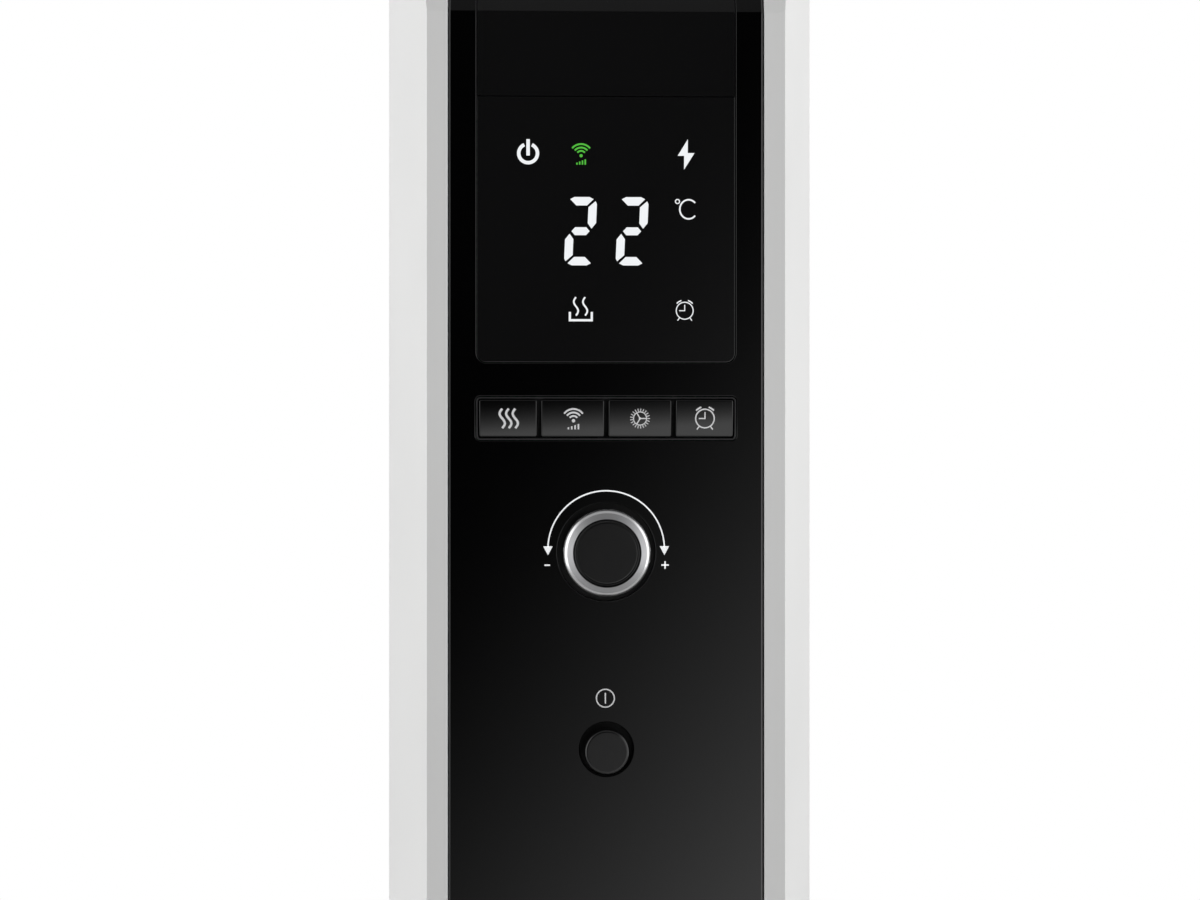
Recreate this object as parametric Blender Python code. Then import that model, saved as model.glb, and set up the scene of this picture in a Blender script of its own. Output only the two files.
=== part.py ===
"""Oil filled radiator heater: nine pressed fins on castors, with a control housing at the front end.

Metres, +Z up. The control fascia faces -Y. The origin is on the floor, under the middle of the heater.
"""

from math import atan2, cos, pi, radians, sin, tan

import bmesh
import bpy
from mathutils import Vector

# Gaps and clearances
GAP = 0.0003              # between two pieces that touch
RUNNING = 0.0001          # radial clearance of a shaft in its bore
PLAY = 0.0005             # around a key or a swivelling piece

# Fins
FIN_COUNT = 9
FIN_PITCH = 0.036
FIN_WIDTH = 0.150
FIN_HEIGHT = 0.555
FIN_CORNER_R = 0.030
FIN_HALF_THICK = 0.005    # at the oil channels
FIN_SEAM = 0.007          # width of the welded seam round the fin
FIN_SEAM_HALF = 0.001
FIN_SHOULDER = 0.006      # slope from the seam up to the channels
HUB_INSET = 0.048         # gallery axis, in from the fin's top and bottom edge
HUB_ROOT_R = 0.028
HUB_TIP_R = 0.020
HUB_STRAIGHT = 0.0055     # straight end of a hub, where the U-bolt grips
GALLERY_R = 0.014         # bore of the galleries
PLUG_HEAD = 0.006
PLUG_SPIGOT = 0.006

# Castors and foot bars
WHEEL_R = 0.020
WHEEL_WIDTH = 0.016
AXLE_R = 0.003
CASTOR_TRAIL = 0.012
FORK_CHEEK = 0.0025
FORK_PLATE = 0.0025
FORK_PLATE_R = 0.0135
FORK_COLLAR_R = 0.008
FORK_COLLAR = 0.0078
FORK_TOP_GAP = 0.003      # between the tyre and the fork's plate
STEM_R = 0.0048
STEM_CLEARANCE = 0.0004
STEM_STANDOUT = 0.003     # stem above the foot bar
CASTOR_INSET = 0.015      # castor centre, in from the foot bar's end
FOOT_LENGTH = 0.240
FOOT_WIDTH = 0.046
FOOT_SHEET = 0.0015
FOOT_FLANGE = 0.007
FOOT_RISE = 0.012         # the bar's middle stands higher than its ends
FOOT_MIDDLE_HALF = 0.058
FOOT_END_HALF = 0.084
ROD_R = 0.003             # U-bolt rod
U_BOLT_CLEARANCE = 0.0006
NUT_R = 0.0065
NUT_HEIGHT = 0.005
NUT_WING = 0.011          # reach of a wing from the nut's axis
NUT_WING_THICK = 0.0018

# Control housing
HOUSING_DEPTH = 0.095
HOUSING_FRONT_WIDTH = 0.1292
HOUSING_BACK_WIDTH = 0.1672
HOUSING_FLARE_DEPTH = 0.076
HOUSING_FLARE_R = 0.120
HOUSING_FRONT_R = 0.0022
HOUSING_FOOT_RISE = 0.0176  # housing's lower end above the fins' lower end
HOUSING_HEAD_RISE = 0.0176  # housing's top above the fins' top
HOUSING_WALL = 0.0025
CREASE_DROP = 0.040       # from the top down to where the front stops leaning back
TOP_TILT = radians(20)
TOP_R = 0.009
BACK_PLATE = 0.0015
LUG_SIZE = 0.012
LUG_DEPTH = 0.018
SCREW_R = 0.0015
SCREW_HEAD_R = 0.0036
SCREW_HEAD = 0.002
SCREW_LENGTH = 0.012

# Fascia and what sits in it; each drop is measured down from the crease
FASCIA_WIDTH = 0.1136
FASCIA_CHIN = 0.027       # white front below the fascia
FASCIA_RECESS = 0.0005
FASCIA_THICK = 0.003
FASCIA_TOP_DEPTH = 0.055  # how far it runs back over the top
CHANNEL_WIDTH = 0.0936
CHANNEL_DROP = 0.1267
CHANNEL_R = 0.0036
COVER_DROP = 0.0305
INSERT_THICK = 0.0022
TRAY_DROP = 0.14665
TRAY_CORNER_R = 0.0018
TRAY_WALL = 0.0006
TRAY_DEPTH = 0.007
TRAY_FLOOR = 0.0015
KEY_HEIGHT = 0.0133
KEY_GAP = 0.0016
KEY_WIDTHS = (0.0207, 0.02265, 0.02265, 0.0207)
KEY_THICK = 0.0035
KEY_PROUD = 0.0008        # in front of the fascia
KEY_NAMES = ("heat_key", "wireless_key", "settings_key", "timer_key")
WELL_WALL = 0.0025
WELL_FLOOR = 0.0025
KNOB_DROP = 0.1948
KNOB_R = 0.0156
KNOB_BAND = 0.0017        # rounded outer band of the metal ring
KNOB_RIM = 0.0032         # width of the metal ring round the cap
KNOB_CAP_SINK = 0.0006
KNOB_PROUD = 0.010
KNOB_WELL_CLEARANCE = 0.0022
KNOB_WELL_DEPTH = 0.0045
KNOB_FLOOR_GAP = 0.001
SHAFT_R = 0.003
SHAFT_HOLE_R = 0.004
ENCODER_SIZE = 0.014
POWER_DROP = 0.2659
POWER_R = 0.00785
POWER_PROUD = 0.008
POWER_WELL_CLEARANCE = 0.00195
POWER_WELL_DEPTH = 0.006
POWER_SKIRT = 0.001       # how far the cap reaches into its well
POWER_STEM_R = 0.003
POWER_STEM_REACH = 0.006  # into the switch, at rest
POWER_TRAVEL = 0.003
SWITCH_SIZE = 0.018

# Electrics inside the housing
BOARD_THICK = 0.0016
BOARD_DEPTH = 0.0185      # front face of the control board, behind the housing's front
BOARD_WIDTH = 0.096
DISPLAY_MARGIN = 0.0048   # from the channel's edge to the display module
POWER_BOARD_SIZE = (0.110, 0.130)
POWER_BOARD_DROP = 0.230
POWER_BOARD_POST = 0.008
POWER_BOARD_POST_R = 0.003
TERMINAL_SIZE = (0.044, 0.016, 0.020)
TILT_SWITCH_SIZE = (0.020, 0.014, 0.016)
BLOCK_OFFSET = 0.025      # of a block from the middle of the power board
CUTOUT_R = 0.009
CUTOUT_HEIGHT = 0.009
CUTOUT_GAP = 0.040        # below the power board
ELEMENT_R = 0.004
ELEMENT_SPACING = 0.014
ELEMENT_TERMINAL = 0.016  # legs in front of the flange
FLANGE_THICK = 0.006
FLANGE_R = 0.019
GLAND_R = 0.0075
GLAND_COLLAR_R = 0.0095
GLAND_COLLAR = 0.004
GLAND_LENGTH = 0.018
GLAND_BORE_R = 0.0042
GLAND_BORE_DEPTH = 0.014
GLAND_DEPTH = 0.060       # behind the housing's front

ROUND = 24                # sides of a turned piece
HUB_SIDES = 16            # sides of the galleries and of what closes them
SIDES = (("left", -1), ("right", 1))

# Places that follow from the sizes
FOOT_TOP_Z = (
    2 * WHEEL_R + FORK_TOP_GAP + FORK_PLATE + FORK_COLLAR + GAP + FOOT_SHEET + FOOT_RISE
)
FIN_BOTTOM = FOOT_TOP_Z + GAP
LOWER_GALLERY_Z = FIN_BOTTOM + HUB_INSET
UPPER_GALLERY_Z = FIN_BOTTOM + FIN_HEIGHT - HUB_INSET
HOUSING_BOTTOM = FIN_BOTTOM + HOUSING_FOOT_RISE
HOUSING_TOP = FIN_BOTTOM + FIN_HEIGHT + HOUSING_HEAD_RISE
CREASE_Z = HOUSING_TOP - CREASE_DROP
SCREW_Z = (HOUSING_BOTTOM + HOUSING_TOP) / 2
FASCIA_BOTTOM = HOUSING_BOTTOM + FASCIA_CHIN
COVER_BOTTOM = CREASE_Z - COVER_DROP
CHANNEL_BOTTOM = CREASE_Z - CHANNEL_DROP
TRAY_Z = CREASE_Z - TRAY_DROP
KNOB_Z = CREASE_Z - KNOB_DROP
POWER_Z = CREASE_Z - POWER_DROP
POWER_BOARD_Z = CREASE_Z - POWER_BOARD_DROP
KEYS_WIDTH = sum(KEY_WIDTHS) + (len(KEY_WIDTHS) - 1) * KEY_GAP
KEY_MARGIN = PLAY + TRAY_WALL + GAP
TRAY_OPENING = (KEYS_WIDTH + 2 * KEY_MARGIN, KEY_HEIGHT + 2 * KEY_MARGIN)
KNOB_CAP_R = KNOB_R - KNOB_RIM
KNOB_WELL_R = KNOB_R + KNOB_WELL_CLEARANCE
POWER_WELL_R = POWER_R + POWER_WELL_CLEARANCE
LENGTH = KNOB_PROUD + HOUSING_DEPTH + GAP + FIN_COUNT * FIN_PITCH + PLUG_HEAD
FRONT_Y = KNOB_PROUD - LENGTH / 2
STACK_Y = FRONT_Y + HOUSING_DEPTH + GAP
STACK_END_Y = STACK_Y + FIN_COUNT * FIN_PITCH
BACK_PLATE_Y = FRONT_Y + HOUSING_DEPTH
FASCIA_FACE = FRONT_Y + FASCIA_RECESS
BOARD_Y = FRONT_Y + BOARD_DEPTH
CASTOR_X = FOOT_LENGTH / 2 - CASTOR_INSET
LEG_X = HUB_TIP_R + U_BOLT_CLEARANCE + ROD_R
FOOT_YS = {"front": STACK_Y + FIN_PITCH, "rear": STACK_END_Y - FIN_PITCH}


# ---------------------------------------------------------------- shape tools

def material(name, colour, roughness, metallic=0.0):
    """Plain Principled finish of one piece."""
    finish = bpy.data.materials.new(name)
    finish.use_nodes = True
    shader = finish.node_tree.nodes["Principled BSDF"]
    shader.inputs["Base Color"].default_value = (*colour, 1.0)
    shader.inputs["Roughness"].default_value = roughness
    shader.inputs["Metallic"].default_value = metallic
    return finish


def add_solid(name, bm):
    """Close a bmesh into an object whose faces point out."""
    bmesh.ops.recalc_face_normals(bm, faces=bm.faces)
    mesh = bpy.data.meshes.new(name)
    bm.to_mesh(mesh)
    bm.free()
    mesh.shade_smooth()
    mesh.set_sharp_from_angle(angle=radians(30))
    solid = bpy.data.objects.new(name, mesh)
    bpy.context.scene.collection.objects.link(solid)
    return solid


def fillet(corners, radii, steps=4):
    """Round a polygon's corners: each corner becomes an arc tangent to its two sides."""
    outline = []
    for index, (corner, radius) in enumerate(zip(corners, radii)):
        here = Vector(corner)
        if radius == 0:
            outline.append(tuple(here))
            continue
        to_last = (Vector(corners[index - 1]) - here).normalized()
        to_next = (Vector(corners[(index + 1) % len(corners)]) - here).normalized()
        half_angle = to_last.angle(to_next) / 2
        centre = here + (to_last + to_next).normalized() * radius / sin(half_angle)
        start = here + to_last * radius / tan(half_angle) - centre
        end = here + to_next * radius / tan(half_angle) - centre
        first = atan2(start.y, start.x)
        turn = (atan2(end.y, end.x) - first + pi) % (2 * pi) - pi
        for step in range(steps + 1):
            angle = first + turn * step / steps
            outline.append((centre.x + radius * cos(angle), centre.y + radius * sin(angle)))
    return outline


def rectangle(width, height, centre=(0.0, 0.0), radius=0.0, steps=4):
    """Rectangle outline, with rounded corners where a radius is given."""
    x, z = centre
    corners = [
        (x - width / 2, z - height / 2),
        (x + width / 2, z - height / 2),
        (x + width / 2, z + height / 2),
        (x - width / 2, z + height / 2),
    ]
    return fillet(corners, [radius] * 4, steps)


def circle(radius, centre=(0.0, 0.0), sides=ROUND):
    """Regular outline with its corners on a circle."""
    return [
        (
            centre[0] + radius * cos(2 * pi * side / sides),
            centre[1] + radius * sin(2 * pi * side / sides),
        )
        for side in range(sides)
    ]


def place(axis, across, along):
    """Point from an outline's two values and a position along the axis that it is extruded on."""
    if axis == "X":
        return (along, across[0], across[1])
    if axis == "Y":
        return (across[0], along, across[1])
    return (across[0], across[1], along)


def loft(name, axis, sections):
    """Skin outlines of equal length, each at its position along the axis, and close both ends."""
    bm = bmesh.new()
    rings = [[bm.verts.new(place(axis, point, along)) for point in outline] for along, outline in sections]
    for low, high in zip(rings, rings[1:]):
        for index in range(len(low)):
            after = (index + 1) % len(low)
            bm.faces.new((low[index], low[after], high[after], high[index]))
    bm.faces.new(rings[0])
    bm.faces.new(rings[-1])
    return add_solid(name, bm)


def prism(name, axis, outline, low, high):
    """Outline extruded along an axis."""
    return loft(name, axis, [(low, outline), (high, outline)])


def box(name, low, high):
    """Block between two corners."""
    width, height = high[0] - low[0], high[2] - low[2]
    middle = ((low[0] + high[0]) / 2, (low[2] + high[2]) / 2)
    return prism(name, "Y", rectangle(width, height, middle), low[1], high[1])


def turn(name, axis, profile, centre, sides=ROUND):
    """Turned piece without a bore: profile of (radius, position along the axis), end to end."""
    return loft(name, axis, [(along, circle(radius, centre, sides)) for radius, along in profile])


def turn_bored(name, axis, profile, centre, sides=ROUND):
    """Turned piece with a bore: the closed profile goes once round the wall's section."""
    bm = bmesh.new()
    rings = [
        [bm.verts.new(place(axis, point, along)) for point in circle(radius, centre, sides)]
        for radius, along in profile
    ]
    for number, ring in enumerate(rings):
        other = rings[(number + 1) % len(rings)]
        for index in range(sides):
            after = (index + 1) % sides
            bm.faces.new((ring[index], ring[after], other[after], other[index]))
    return add_solid(name, bm)


def sweep(name, path, radius, sides=8):
    """Round rod along a planar path of points, with flat ends."""
    bm = bmesh.new()
    points = [Vector(point) for point in path]
    normal = (points[1] - points[0]).cross(points[-1] - points[0]).normalized()
    rings = []
    for index, point in enumerate(points):
        ahead = points[min(index + 1, len(points) - 1)]
        behind = points[max(index - 1, 0)]
        side = (ahead - behind).normalized().cross(normal)
        rings.append([
            bm.verts.new(point + side * radius * cos(angle) + normal * radius * sin(angle))
            for angle in (2 * pi * step / sides for step in range(sides))
        ])
    for low, high in zip(rings, rings[1:]):
        for index in range(sides):
            after = (index + 1) % sides
            bm.faces.new((low[index], low[after], high[after], high[index]))
    bm.faces.new(rings[0])
    bm.faces.new(rings[-1])
    return add_solid(name, bm)


def combine(target, tool, operation):
    """Join, cut or intersect a solid with another, which is used up."""
    step = target.modifiers.new(operation.lower(), "BOOLEAN")
    step.operation = operation
    step.solver = "EXACT"
    step.object = tool
    graph = bpy.context.evaluated_depsgraph_get()
    mesh = bpy.data.meshes.new_from_object(target.evaluated_get(graph))
    target.modifiers.clear()
    target.data = mesh
    bpy.data.objects.remove(tool)
    return target


def cut(target, *tools):
    """Take each tool away from the solid."""
    for tool in tools:
        combine(target, tool, "DIFFERENCE")
    return target


def join(target, *tools):
    """Add each tool to the solid."""
    for tool in tools:
        combine(target, tool, "UNION")
    return target


def finish(solid, name, look, origin=(0.0, 0.0, 0.0)):
    """Give a piece its name, its material and its origin."""
    solid.name = name
    solid.data.name = name
    solid.data.materials.clear()
    solid.data.materials.append(look)
    shift = Vector(origin)
    for vertex in solid.data.vertices:
        vertex.co -= shift
    solid.location = shift
    return solid


# ---------------------------------------------------------------- radiator

def fin_blade():
    """One fin's blade: a thin seam round two raised halves, centred on the origin."""
    def outline(inset):
        size = (FIN_WIDTH - 2 * inset, FIN_HEIGHT - 2 * inset)
        return rectangle(*size, radius=FIN_CORNER_R - inset, steps=3)

    seam_inner = FIN_SEAM
    raised = FIN_SEAM + FIN_SHOULDER
    return loft("blade", "Y", [
        (-FIN_HALF_THICK, outline(raised)),
        (-FIN_SEAM_HALF, outline(seam_inner)),
        (-FIN_SEAM_HALF, outline(0)),
        (FIN_SEAM_HALF, outline(0)),
        (FIN_SEAM_HALF, outline(seam_inner)),
        (FIN_HALF_THICK, outline(raised)),
    ])


def fin_mesh():
    """The pressing that every fin shares: blade, upper and lower hub, and the bores of the galleries."""
    fin = fin_blade()
    reach = (FIN_PITCH - GAP) / 2
    for side in (-1, 1):
        centre = (0.0, side * (FIN_HEIGHT / 2 - HUB_INSET))
        hub = turn("hub", "Y", [
            (HUB_TIP_R, -reach),
            (HUB_TIP_R, HUB_STRAIGHT - reach),
            (HUB_ROOT_R, -FIN_HALF_THICK + GAP),
            (HUB_ROOT_R, FIN_HALF_THICK - GAP),
            (HUB_TIP_R, reach - HUB_STRAIGHT),
            (HUB_TIP_R, reach),
        ], centre, HUB_SIDES)
        join(fin, hub)
    for side in (-1, 1):
        centre = (0.0, side * (FIN_HEIGHT / 2 - HUB_INSET))
        bore = circle(GALLERY_R, centre, HUB_SIDES)
        cut(fin, prism("bore", "Y", bore, -FIN_PITCH, FIN_PITCH))
    mesh = fin.data.copy()
    bpy.data.objects.remove(fin)
    return mesh


def make_fins(look):
    """Row of fins, hub to hub."""
    mesh = fin_mesh()
    mesh.materials.clear()
    mesh.materials.append(look)
    for number in range(FIN_COUNT):
        fin = bpy.data.objects.new(f"fin_{number + 1}", mesh)
        fin.location = (0.0, STACK_Y + (number + 0.5) * FIN_PITCH, FIN_BOTTOM + FIN_HEIGHT / 2)
        bpy.context.scene.collection.objects.link(fin)


def make_plugs(look):
    """Blank plugs of the galleries, and the hexagonal oil filler plug at the rear top."""
    spigot_r = GALLERY_R - GAP
    rear_face = STACK_END_Y - GAP / 2
    front_face = STACK_Y
    lower = turn("plug", "Y", [
        (spigot_r, rear_face - PLUG_SPIGOT),
        (spigot_r, rear_face + GAP),
        (HUB_TIP_R, rear_face + GAP),
        (HUB_TIP_R, STACK_END_Y + PLUG_HEAD),
    ], (0.0, LOWER_GALLERY_Z), HUB_SIDES)
    finish(lower, "lower_end_plug", look)
    filler = turn("plug", "Y", [
        (spigot_r, rear_face - PLUG_SPIGOT),
        (spigot_r, rear_face + GAP),
        (HUB_TIP_R, rear_face + GAP),
        (HUB_TIP_R, STACK_END_Y + PLUG_HEAD / 2),
    ], (0.0, UPPER_GALLERY_Z), HUB_SIDES)
    head = prism(
        "head", "Y", circle(HUB_TIP_R * 0.6, (0.0, UPPER_GALLERY_Z), 6),
        STACK_END_Y, STACK_END_Y + PLUG_HEAD,
    )
    finish(join(filler, head), "oil_filler_plug", look)
    front = turn("plug", "Y", [
        (FLANGE_R, front_face - GAP - FLANGE_THICK),
        (FLANGE_R, front_face - GAP / 2),
        (spigot_r, front_face - GAP / 2),
        (spigot_r, front_face + PLUG_SPIGOT),
    ], (0.0, UPPER_GALLERY_Z), HUB_SIDES)
    finish(front, "upper_front_plug", look)


def make_element(look, flange_look):
    """Hairpin element along the lower gallery, through the flange that seals the gallery's front."""
    leg = ELEMENT_SPACING / 2
    start = STACK_Y - GAP - FLANGE_THICK - ELEMENT_TERMINAL
    bend = STACK_END_Y - PLUG_SPIGOT - leg - ELEMENT_R - 4 * GAP
    arc_steps = 8
    path = [(-leg, start, LOWER_GALLERY_Z)]
    for step in range(arc_steps + 1):
        angle = pi - pi * step / arc_steps
        path.append((leg * cos(angle), bend + leg * sin(angle), LOWER_GALLERY_Z))
    path.append((leg, start, LOWER_GALLERY_Z))
    finish(sweep("element", path, ELEMENT_R), "heating_element", look)
    flange = turn("flange", "Y", [
        (FLANGE_R, STACK_Y - GAP - FLANGE_THICK),
        (FLANGE_R, STACK_Y - GAP / 2),
        (GALLERY_R - GAP, STACK_Y - GAP / 2),
        (GALLERY_R - GAP, STACK_Y + PLUG_SPIGOT),
    ], (0.0, LOWER_GALLERY_Z), HUB_SIDES)
    for side in (-1, 1):
        hole = circle(ELEMENT_R + GAP, (side * leg, LOWER_GALLERY_Z), 12)
        cut(flange, prism("hole", "Y", hole, start, STACK_Y + FIN_PITCH))
    finish(flange, "element_flange", flange_look)


# ---------------------------------------------------------------- feet and castors

def foot_path(offset):
    """Height line of a foot bar, end to end, moved up by an offset."""
    low = FOOT_TOP_Z - FOOT_RISE + offset
    high = FOOT_TOP_Z + offset
    half = [(FOOT_LENGTH / 2, low), (FOOT_END_HALF, low), (FOOT_MIDDLE_HALF, high)]
    return [(-x, z) for x, z in half] + half[::-1]


def make_foot_bar(end, look):
    """Pressed channel, open downwards: its raised middle carries the fins, its ends the castors."""
    y = FOOT_YS[end]
    half = FOOT_WIDTH / 2
    bar = prism(
        "bar", "Y", foot_path(0.0) + foot_path(-FOOT_SHEET - FOOT_FLANGE)[::-1], y - half, y + half
    )
    inside = foot_path(-FOOT_SHEET)
    inside[0] = (inside[0][0] * 1.1, inside[0][1])
    inside[-1] = (inside[-1][0] * 1.1, inside[-1][1])
    floor = foot_path(-FOOT_SHEET - 2 * FOOT_FLANGE)
    floor[0] = (floor[0][0] * 1.1, floor[0][1])
    floor[-1] = (floor[-1][0] * 1.1, floor[-1][1])
    cut(bar, prism("inside", "Y", inside + floor[::-1], y - half + FOOT_SHEET, y + half - FOOT_SHEET))
    for side in (-1, 1):
        leg_hole = circle(ROD_R + GAP, (side * LEG_X, y), 12)
        stem_hole = circle(STEM_R + STEM_CLEARANCE, (side * CASTOR_X, y), 16)
        cut(
            bar,
            prism("leg_hole", "Z", leg_hole, 0.0, LOWER_GALLERY_Z),
            prism("stem_hole", "Z", stem_hole, 0.0, LOWER_GALLERY_Z),
        )
    finish(bar, f"{end}_foot_bar", look)


def make_u_bolt(end, look):
    """U-bolt over the lower gallery's neck, with both legs down through the foot bar."""
    y = FOOT_YS[end]
    foot = FOOT_TOP_Z - FOOT_SHEET - GAP - NUT_HEIGHT - ROD_R / 2
    arc_steps = 12
    path = [(-LEG_X, y, foot)]
    for step in range(arc_steps + 1):
        angle = pi - pi * step / arc_steps
        path.append((LEG_X * cos(angle), y, LOWER_GALLERY_Z + LEG_X * sin(angle)))
    path.append((LEG_X, y, foot))
    finish(sweep("u_bolt", path, ROD_R), f"{end}_u_bolt", look)


def make_wing_nut(end, side_name, side, look):
    """Wing nut under the foot bar, on one leg of the U-bolt."""
    centre = (side * LEG_X, FOOT_YS[end])
    top = FOOT_TOP_Z - FOOT_SHEET - GAP
    nut = prism("nut", "Z", circle(NUT_R, centre, 12), top - NUT_HEIGHT, top)
    wings = box(
        "wings",
        (centre[0] - NUT_WING, centre[1] - NUT_WING_THICK / 2, top - NUT_HEIGHT),
        (centre[0] + NUT_WING, centre[1] + NUT_WING_THICK / 2, top - NUT_HEIGHT / 3),
    )
    join(nut, wings)
    bore = prism("bore", "Z", circle(ROD_R + GAP, centre, 12), 0.0, LOWER_GALLERY_Z)
    finish(cut(nut, bore), f"{end}_{side_name}_wing_nut", look)


def fork_outline(y):
    """One cheek of a castor's fork, seen from its side: from under the plate down round the axle."""
    top = 2 * WHEEL_R + FORK_TOP_GAP + FORK_PLATE / 2
    eye = 2 * AXLE_R
    arc_steps = 6
    outline = [(y + FORK_PLATE_R * 0.9, top), (y - FORK_PLATE_R * 0.7, top)]
    for step in range(arc_steps + 1):
        angle = radians(200) + radians(160) * step / arc_steps
        outline.append((y + CASTOR_TRAIL + eye * cos(angle), WHEEL_R + eye * sin(angle)))
    return outline


def make_castor(end, side_name, side, looks):
    """Swivelling castor: a fork with its stem, an axle through its cheeks and a wheel on the axle."""
    x = side * CASTOR_X
    y = FOOT_YS[end]
    plate_low = 2 * WHEEL_R + FORK_TOP_GAP
    collar_low = plate_low + FORK_PLATE
    collar_top = collar_low + FORK_COLLAR
    stem_top = collar_top + GAP + FOOT_SHEET + STEM_STANDOUT
    fork = turn("fork", "Z", [
        (FORK_PLATE_R, plate_low),
        (FORK_PLATE_R, collar_low),
        (FORK_COLLAR_R, collar_low),
        (FORK_COLLAR_R, collar_top),
        (STEM_R, collar_top),
        (STEM_R, stem_top),
    ], (x, y), 16)
    inner = WHEEL_WIDTH / 2 + PLAY
    for cheek in (-1, 1):
        faces = sorted((x + cheek * inner, x + cheek * (inner + FORK_CHEEK)))
        join(fork, prism("cheek", "X", fork_outline(y), *faces))
    hub = (y + CASTOR_TRAIL, WHEEL_R)
    cut(fork, prism("hole", "X", circle(AXLE_R + RUNNING, hub, 16), x - CASTOR_X, x + CASTOR_X))
    place_name = f"{end}_{side_name}"
    finish(fork, f"castor_fork_{place_name}", looks["castor"], (x, y, collar_top))

    reach = inner + FORK_CHEEK + PLAY
    axle = prism("axle", "X", circle(AXLE_R, hub, 16), x - reach, x + reach)
    finish(axle, f"castor_axle_{place_name}", looks["zinc"], (x, *hub))

    half = WHEEL_WIDTH / 2
    edge = WHEEL_R * 0.06
    profile = [
        (AXLE_R + RUNNING, x - half),
        (WHEEL_R - edge, x - half),
        (WHEEL_R, x - half + edge),
    ]
    profile += [(radius, 2 * x - along) for radius, along in reversed(profile)]
    wheel = turn_bored("wheel", "X", profile, hub, 16)
    finish(wheel, f"castor_wheel_{place_name}", looks["wheel"], (x, *hub))


# ---------------------------------------------------------------- housing

def front_corners(inset):
    """Depth and height of the crease and of the top corner of the front, moved in by an inset."""
    crease = (inset, CREASE_Z - inset * tan(TOP_TILT / 2))
    run = (HOUSING_TOP - inset - CREASE_Z + inset * sin(TOP_TILT)) / cos(TOP_TILT)
    corner = (inset * cos(TOP_TILT) + run * sin(TOP_TILT), HOUSING_TOP - inset)
    return crease, corner


def plan_outline(inset, back):
    """Housing seen from above: narrow flat front, sides flaring to full width, square back."""
    front_half = HOUSING_FRONT_WIDTH / 2 - inset
    back_half = HOUSING_BACK_WIDTH / 2 - inset
    flare = FRONT_Y + HOUSING_FLARE_DEPTH
    corners = [
        (-front_half, FRONT_Y + inset),
        (front_half, FRONT_Y + inset),
        (back_half, flare),
        (back_half, back),
        (-back_half, back),
        (-back_half, flare),
    ]
    edge = HOUSING_FRONT_R
    flare_r = HOUSING_FLARE_R - inset
    return fillet(corners, [edge, edge, flare_r, 0, 0, flare_r], 6)


def side_outline(inset, back):
    """Housing seen from its side, as (y, z): upright front, crease, leaning top end, square back."""
    crease, corner = front_corners(inset)
    corners = [
        (FRONT_Y + inset, HOUSING_BOTTOM + inset),
        (back, HOUSING_BOTTOM + inset),
        (back, HOUSING_TOP - inset),
        (FRONT_Y + corner[0], corner[1]),
        (FRONT_Y + crease[0], crease[1]),
    ]
    return fillet(corners, [HOUSING_FRONT_R, 0, 0, TOP_R - inset, HOUSING_FRONT_R], 5)


def housing_block(inset, back):
    """Solid with the housing's outer shape, moved in by an inset."""
    block = prism("plan", "Z", plan_outline(inset, back), HOUSING_BOTTOM + inset, HOUSING_TOP - inset)
    half = HOUSING_BACK_WIDTH
    return combine(block, prism("side", "X", side_outline(inset, back), -half, half), "INTERSECT")


def lug_x():
    """Middle of a screw lug, beside the housing's side wall."""
    return HOUSING_BACK_WIDTH / 2 - HOUSING_WALL - LUG_SIZE / 2


def make_housing(look):
    """Moulded shell, open at the back, with a slot down its front and over its top for the fascia."""
    shell = housing_block(0.0, BACK_PLATE_Y)
    cut(shell, housing_block(HOUSING_WALL, BACK_PLATE_Y + HOUSING_WALL))
    half = FASCIA_WIDTH / 2 + GAP
    low = (-half, FRONT_Y - HOUSING_WALL, FASCIA_BOTTOM)
    high = (half, FRONT_Y + FASCIA_TOP_DEPTH, HOUSING_TOP + HOUSING_WALL)
    cut(shell, box("slot", low, high))
    back = BACK_PLATE_Y - BACK_PLATE - GAP
    spread = LUG_SIZE / 2
    for side in (-1, 1):
        x = side * lug_x()
        outer = x + side * (spread + HOUSING_WALL / 2)
        inner = x - side * spread
        lug = box(
            "lug",
            (min(inner, outer), back - LUG_DEPTH, SCREW_Z - spread),
            (max(inner, outer), back, SCREW_Z + spread),
        )
        join(shell, lug)
        hole = circle(SCREW_R + GAP, (x, SCREW_Z), 8)
        cut(shell, prism("hole", "Y", hole, back - SCREW_LENGTH, back + BACK_PLATE))
    finish(shell, "housing_shell", look)


def make_back_plate(look):
    """Steel plate that closes the housing, holed for the gallery flanges and the screws."""
    front = BACK_PLATE_Y - BACK_PLATE
    inset = HOUSING_WALL + GAP
    size = (HOUSING_BACK_WIDTH - 2 * inset, HOUSING_TOP - HOUSING_BOTTOM - 2 * inset)
    middle = (0.0, (HOUSING_TOP + HOUSING_BOTTOM) / 2)
    plate = prism("plate", "Y", rectangle(*size, middle), front, BACK_PLATE_Y)
    for height in (LOWER_GALLERY_Z, UPPER_GALLERY_Z):
        hole = circle(FLANGE_R + PLAY, (0.0, height))
        cut(plate, prism("hole", "Y", hole, front - inset, BACK_PLATE_Y + inset))
    for side in (-1, 1):
        hole = circle(SCREW_R + GAP, (side * lug_x(), SCREW_Z), 8)
        cut(plate, prism("hole", "Y", hole, front - inset, BACK_PLATE_Y + inset))
    finish(plate, "housing_back_plate", look)


def make_screws(look):
    """Screws through the back plate into the housing's lugs, one on each side."""
    head = BACK_PLATE_Y + GAP
    tip = head + BACK_PLATE - SCREW_LENGTH
    for side_name, side in SIDES:
        screw = turn("screw", "Y", [
            (SCREW_R, tip),
            (SCREW_R, head),
            (SCREW_HEAD_R, head),
            (SCREW_HEAD_R * 0.7, head + SCREW_HEAD),
        ], (side * lug_x(), SCREW_Z), 8)
        finish(screw, f"housing_screw_{side_name}", look)


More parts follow.
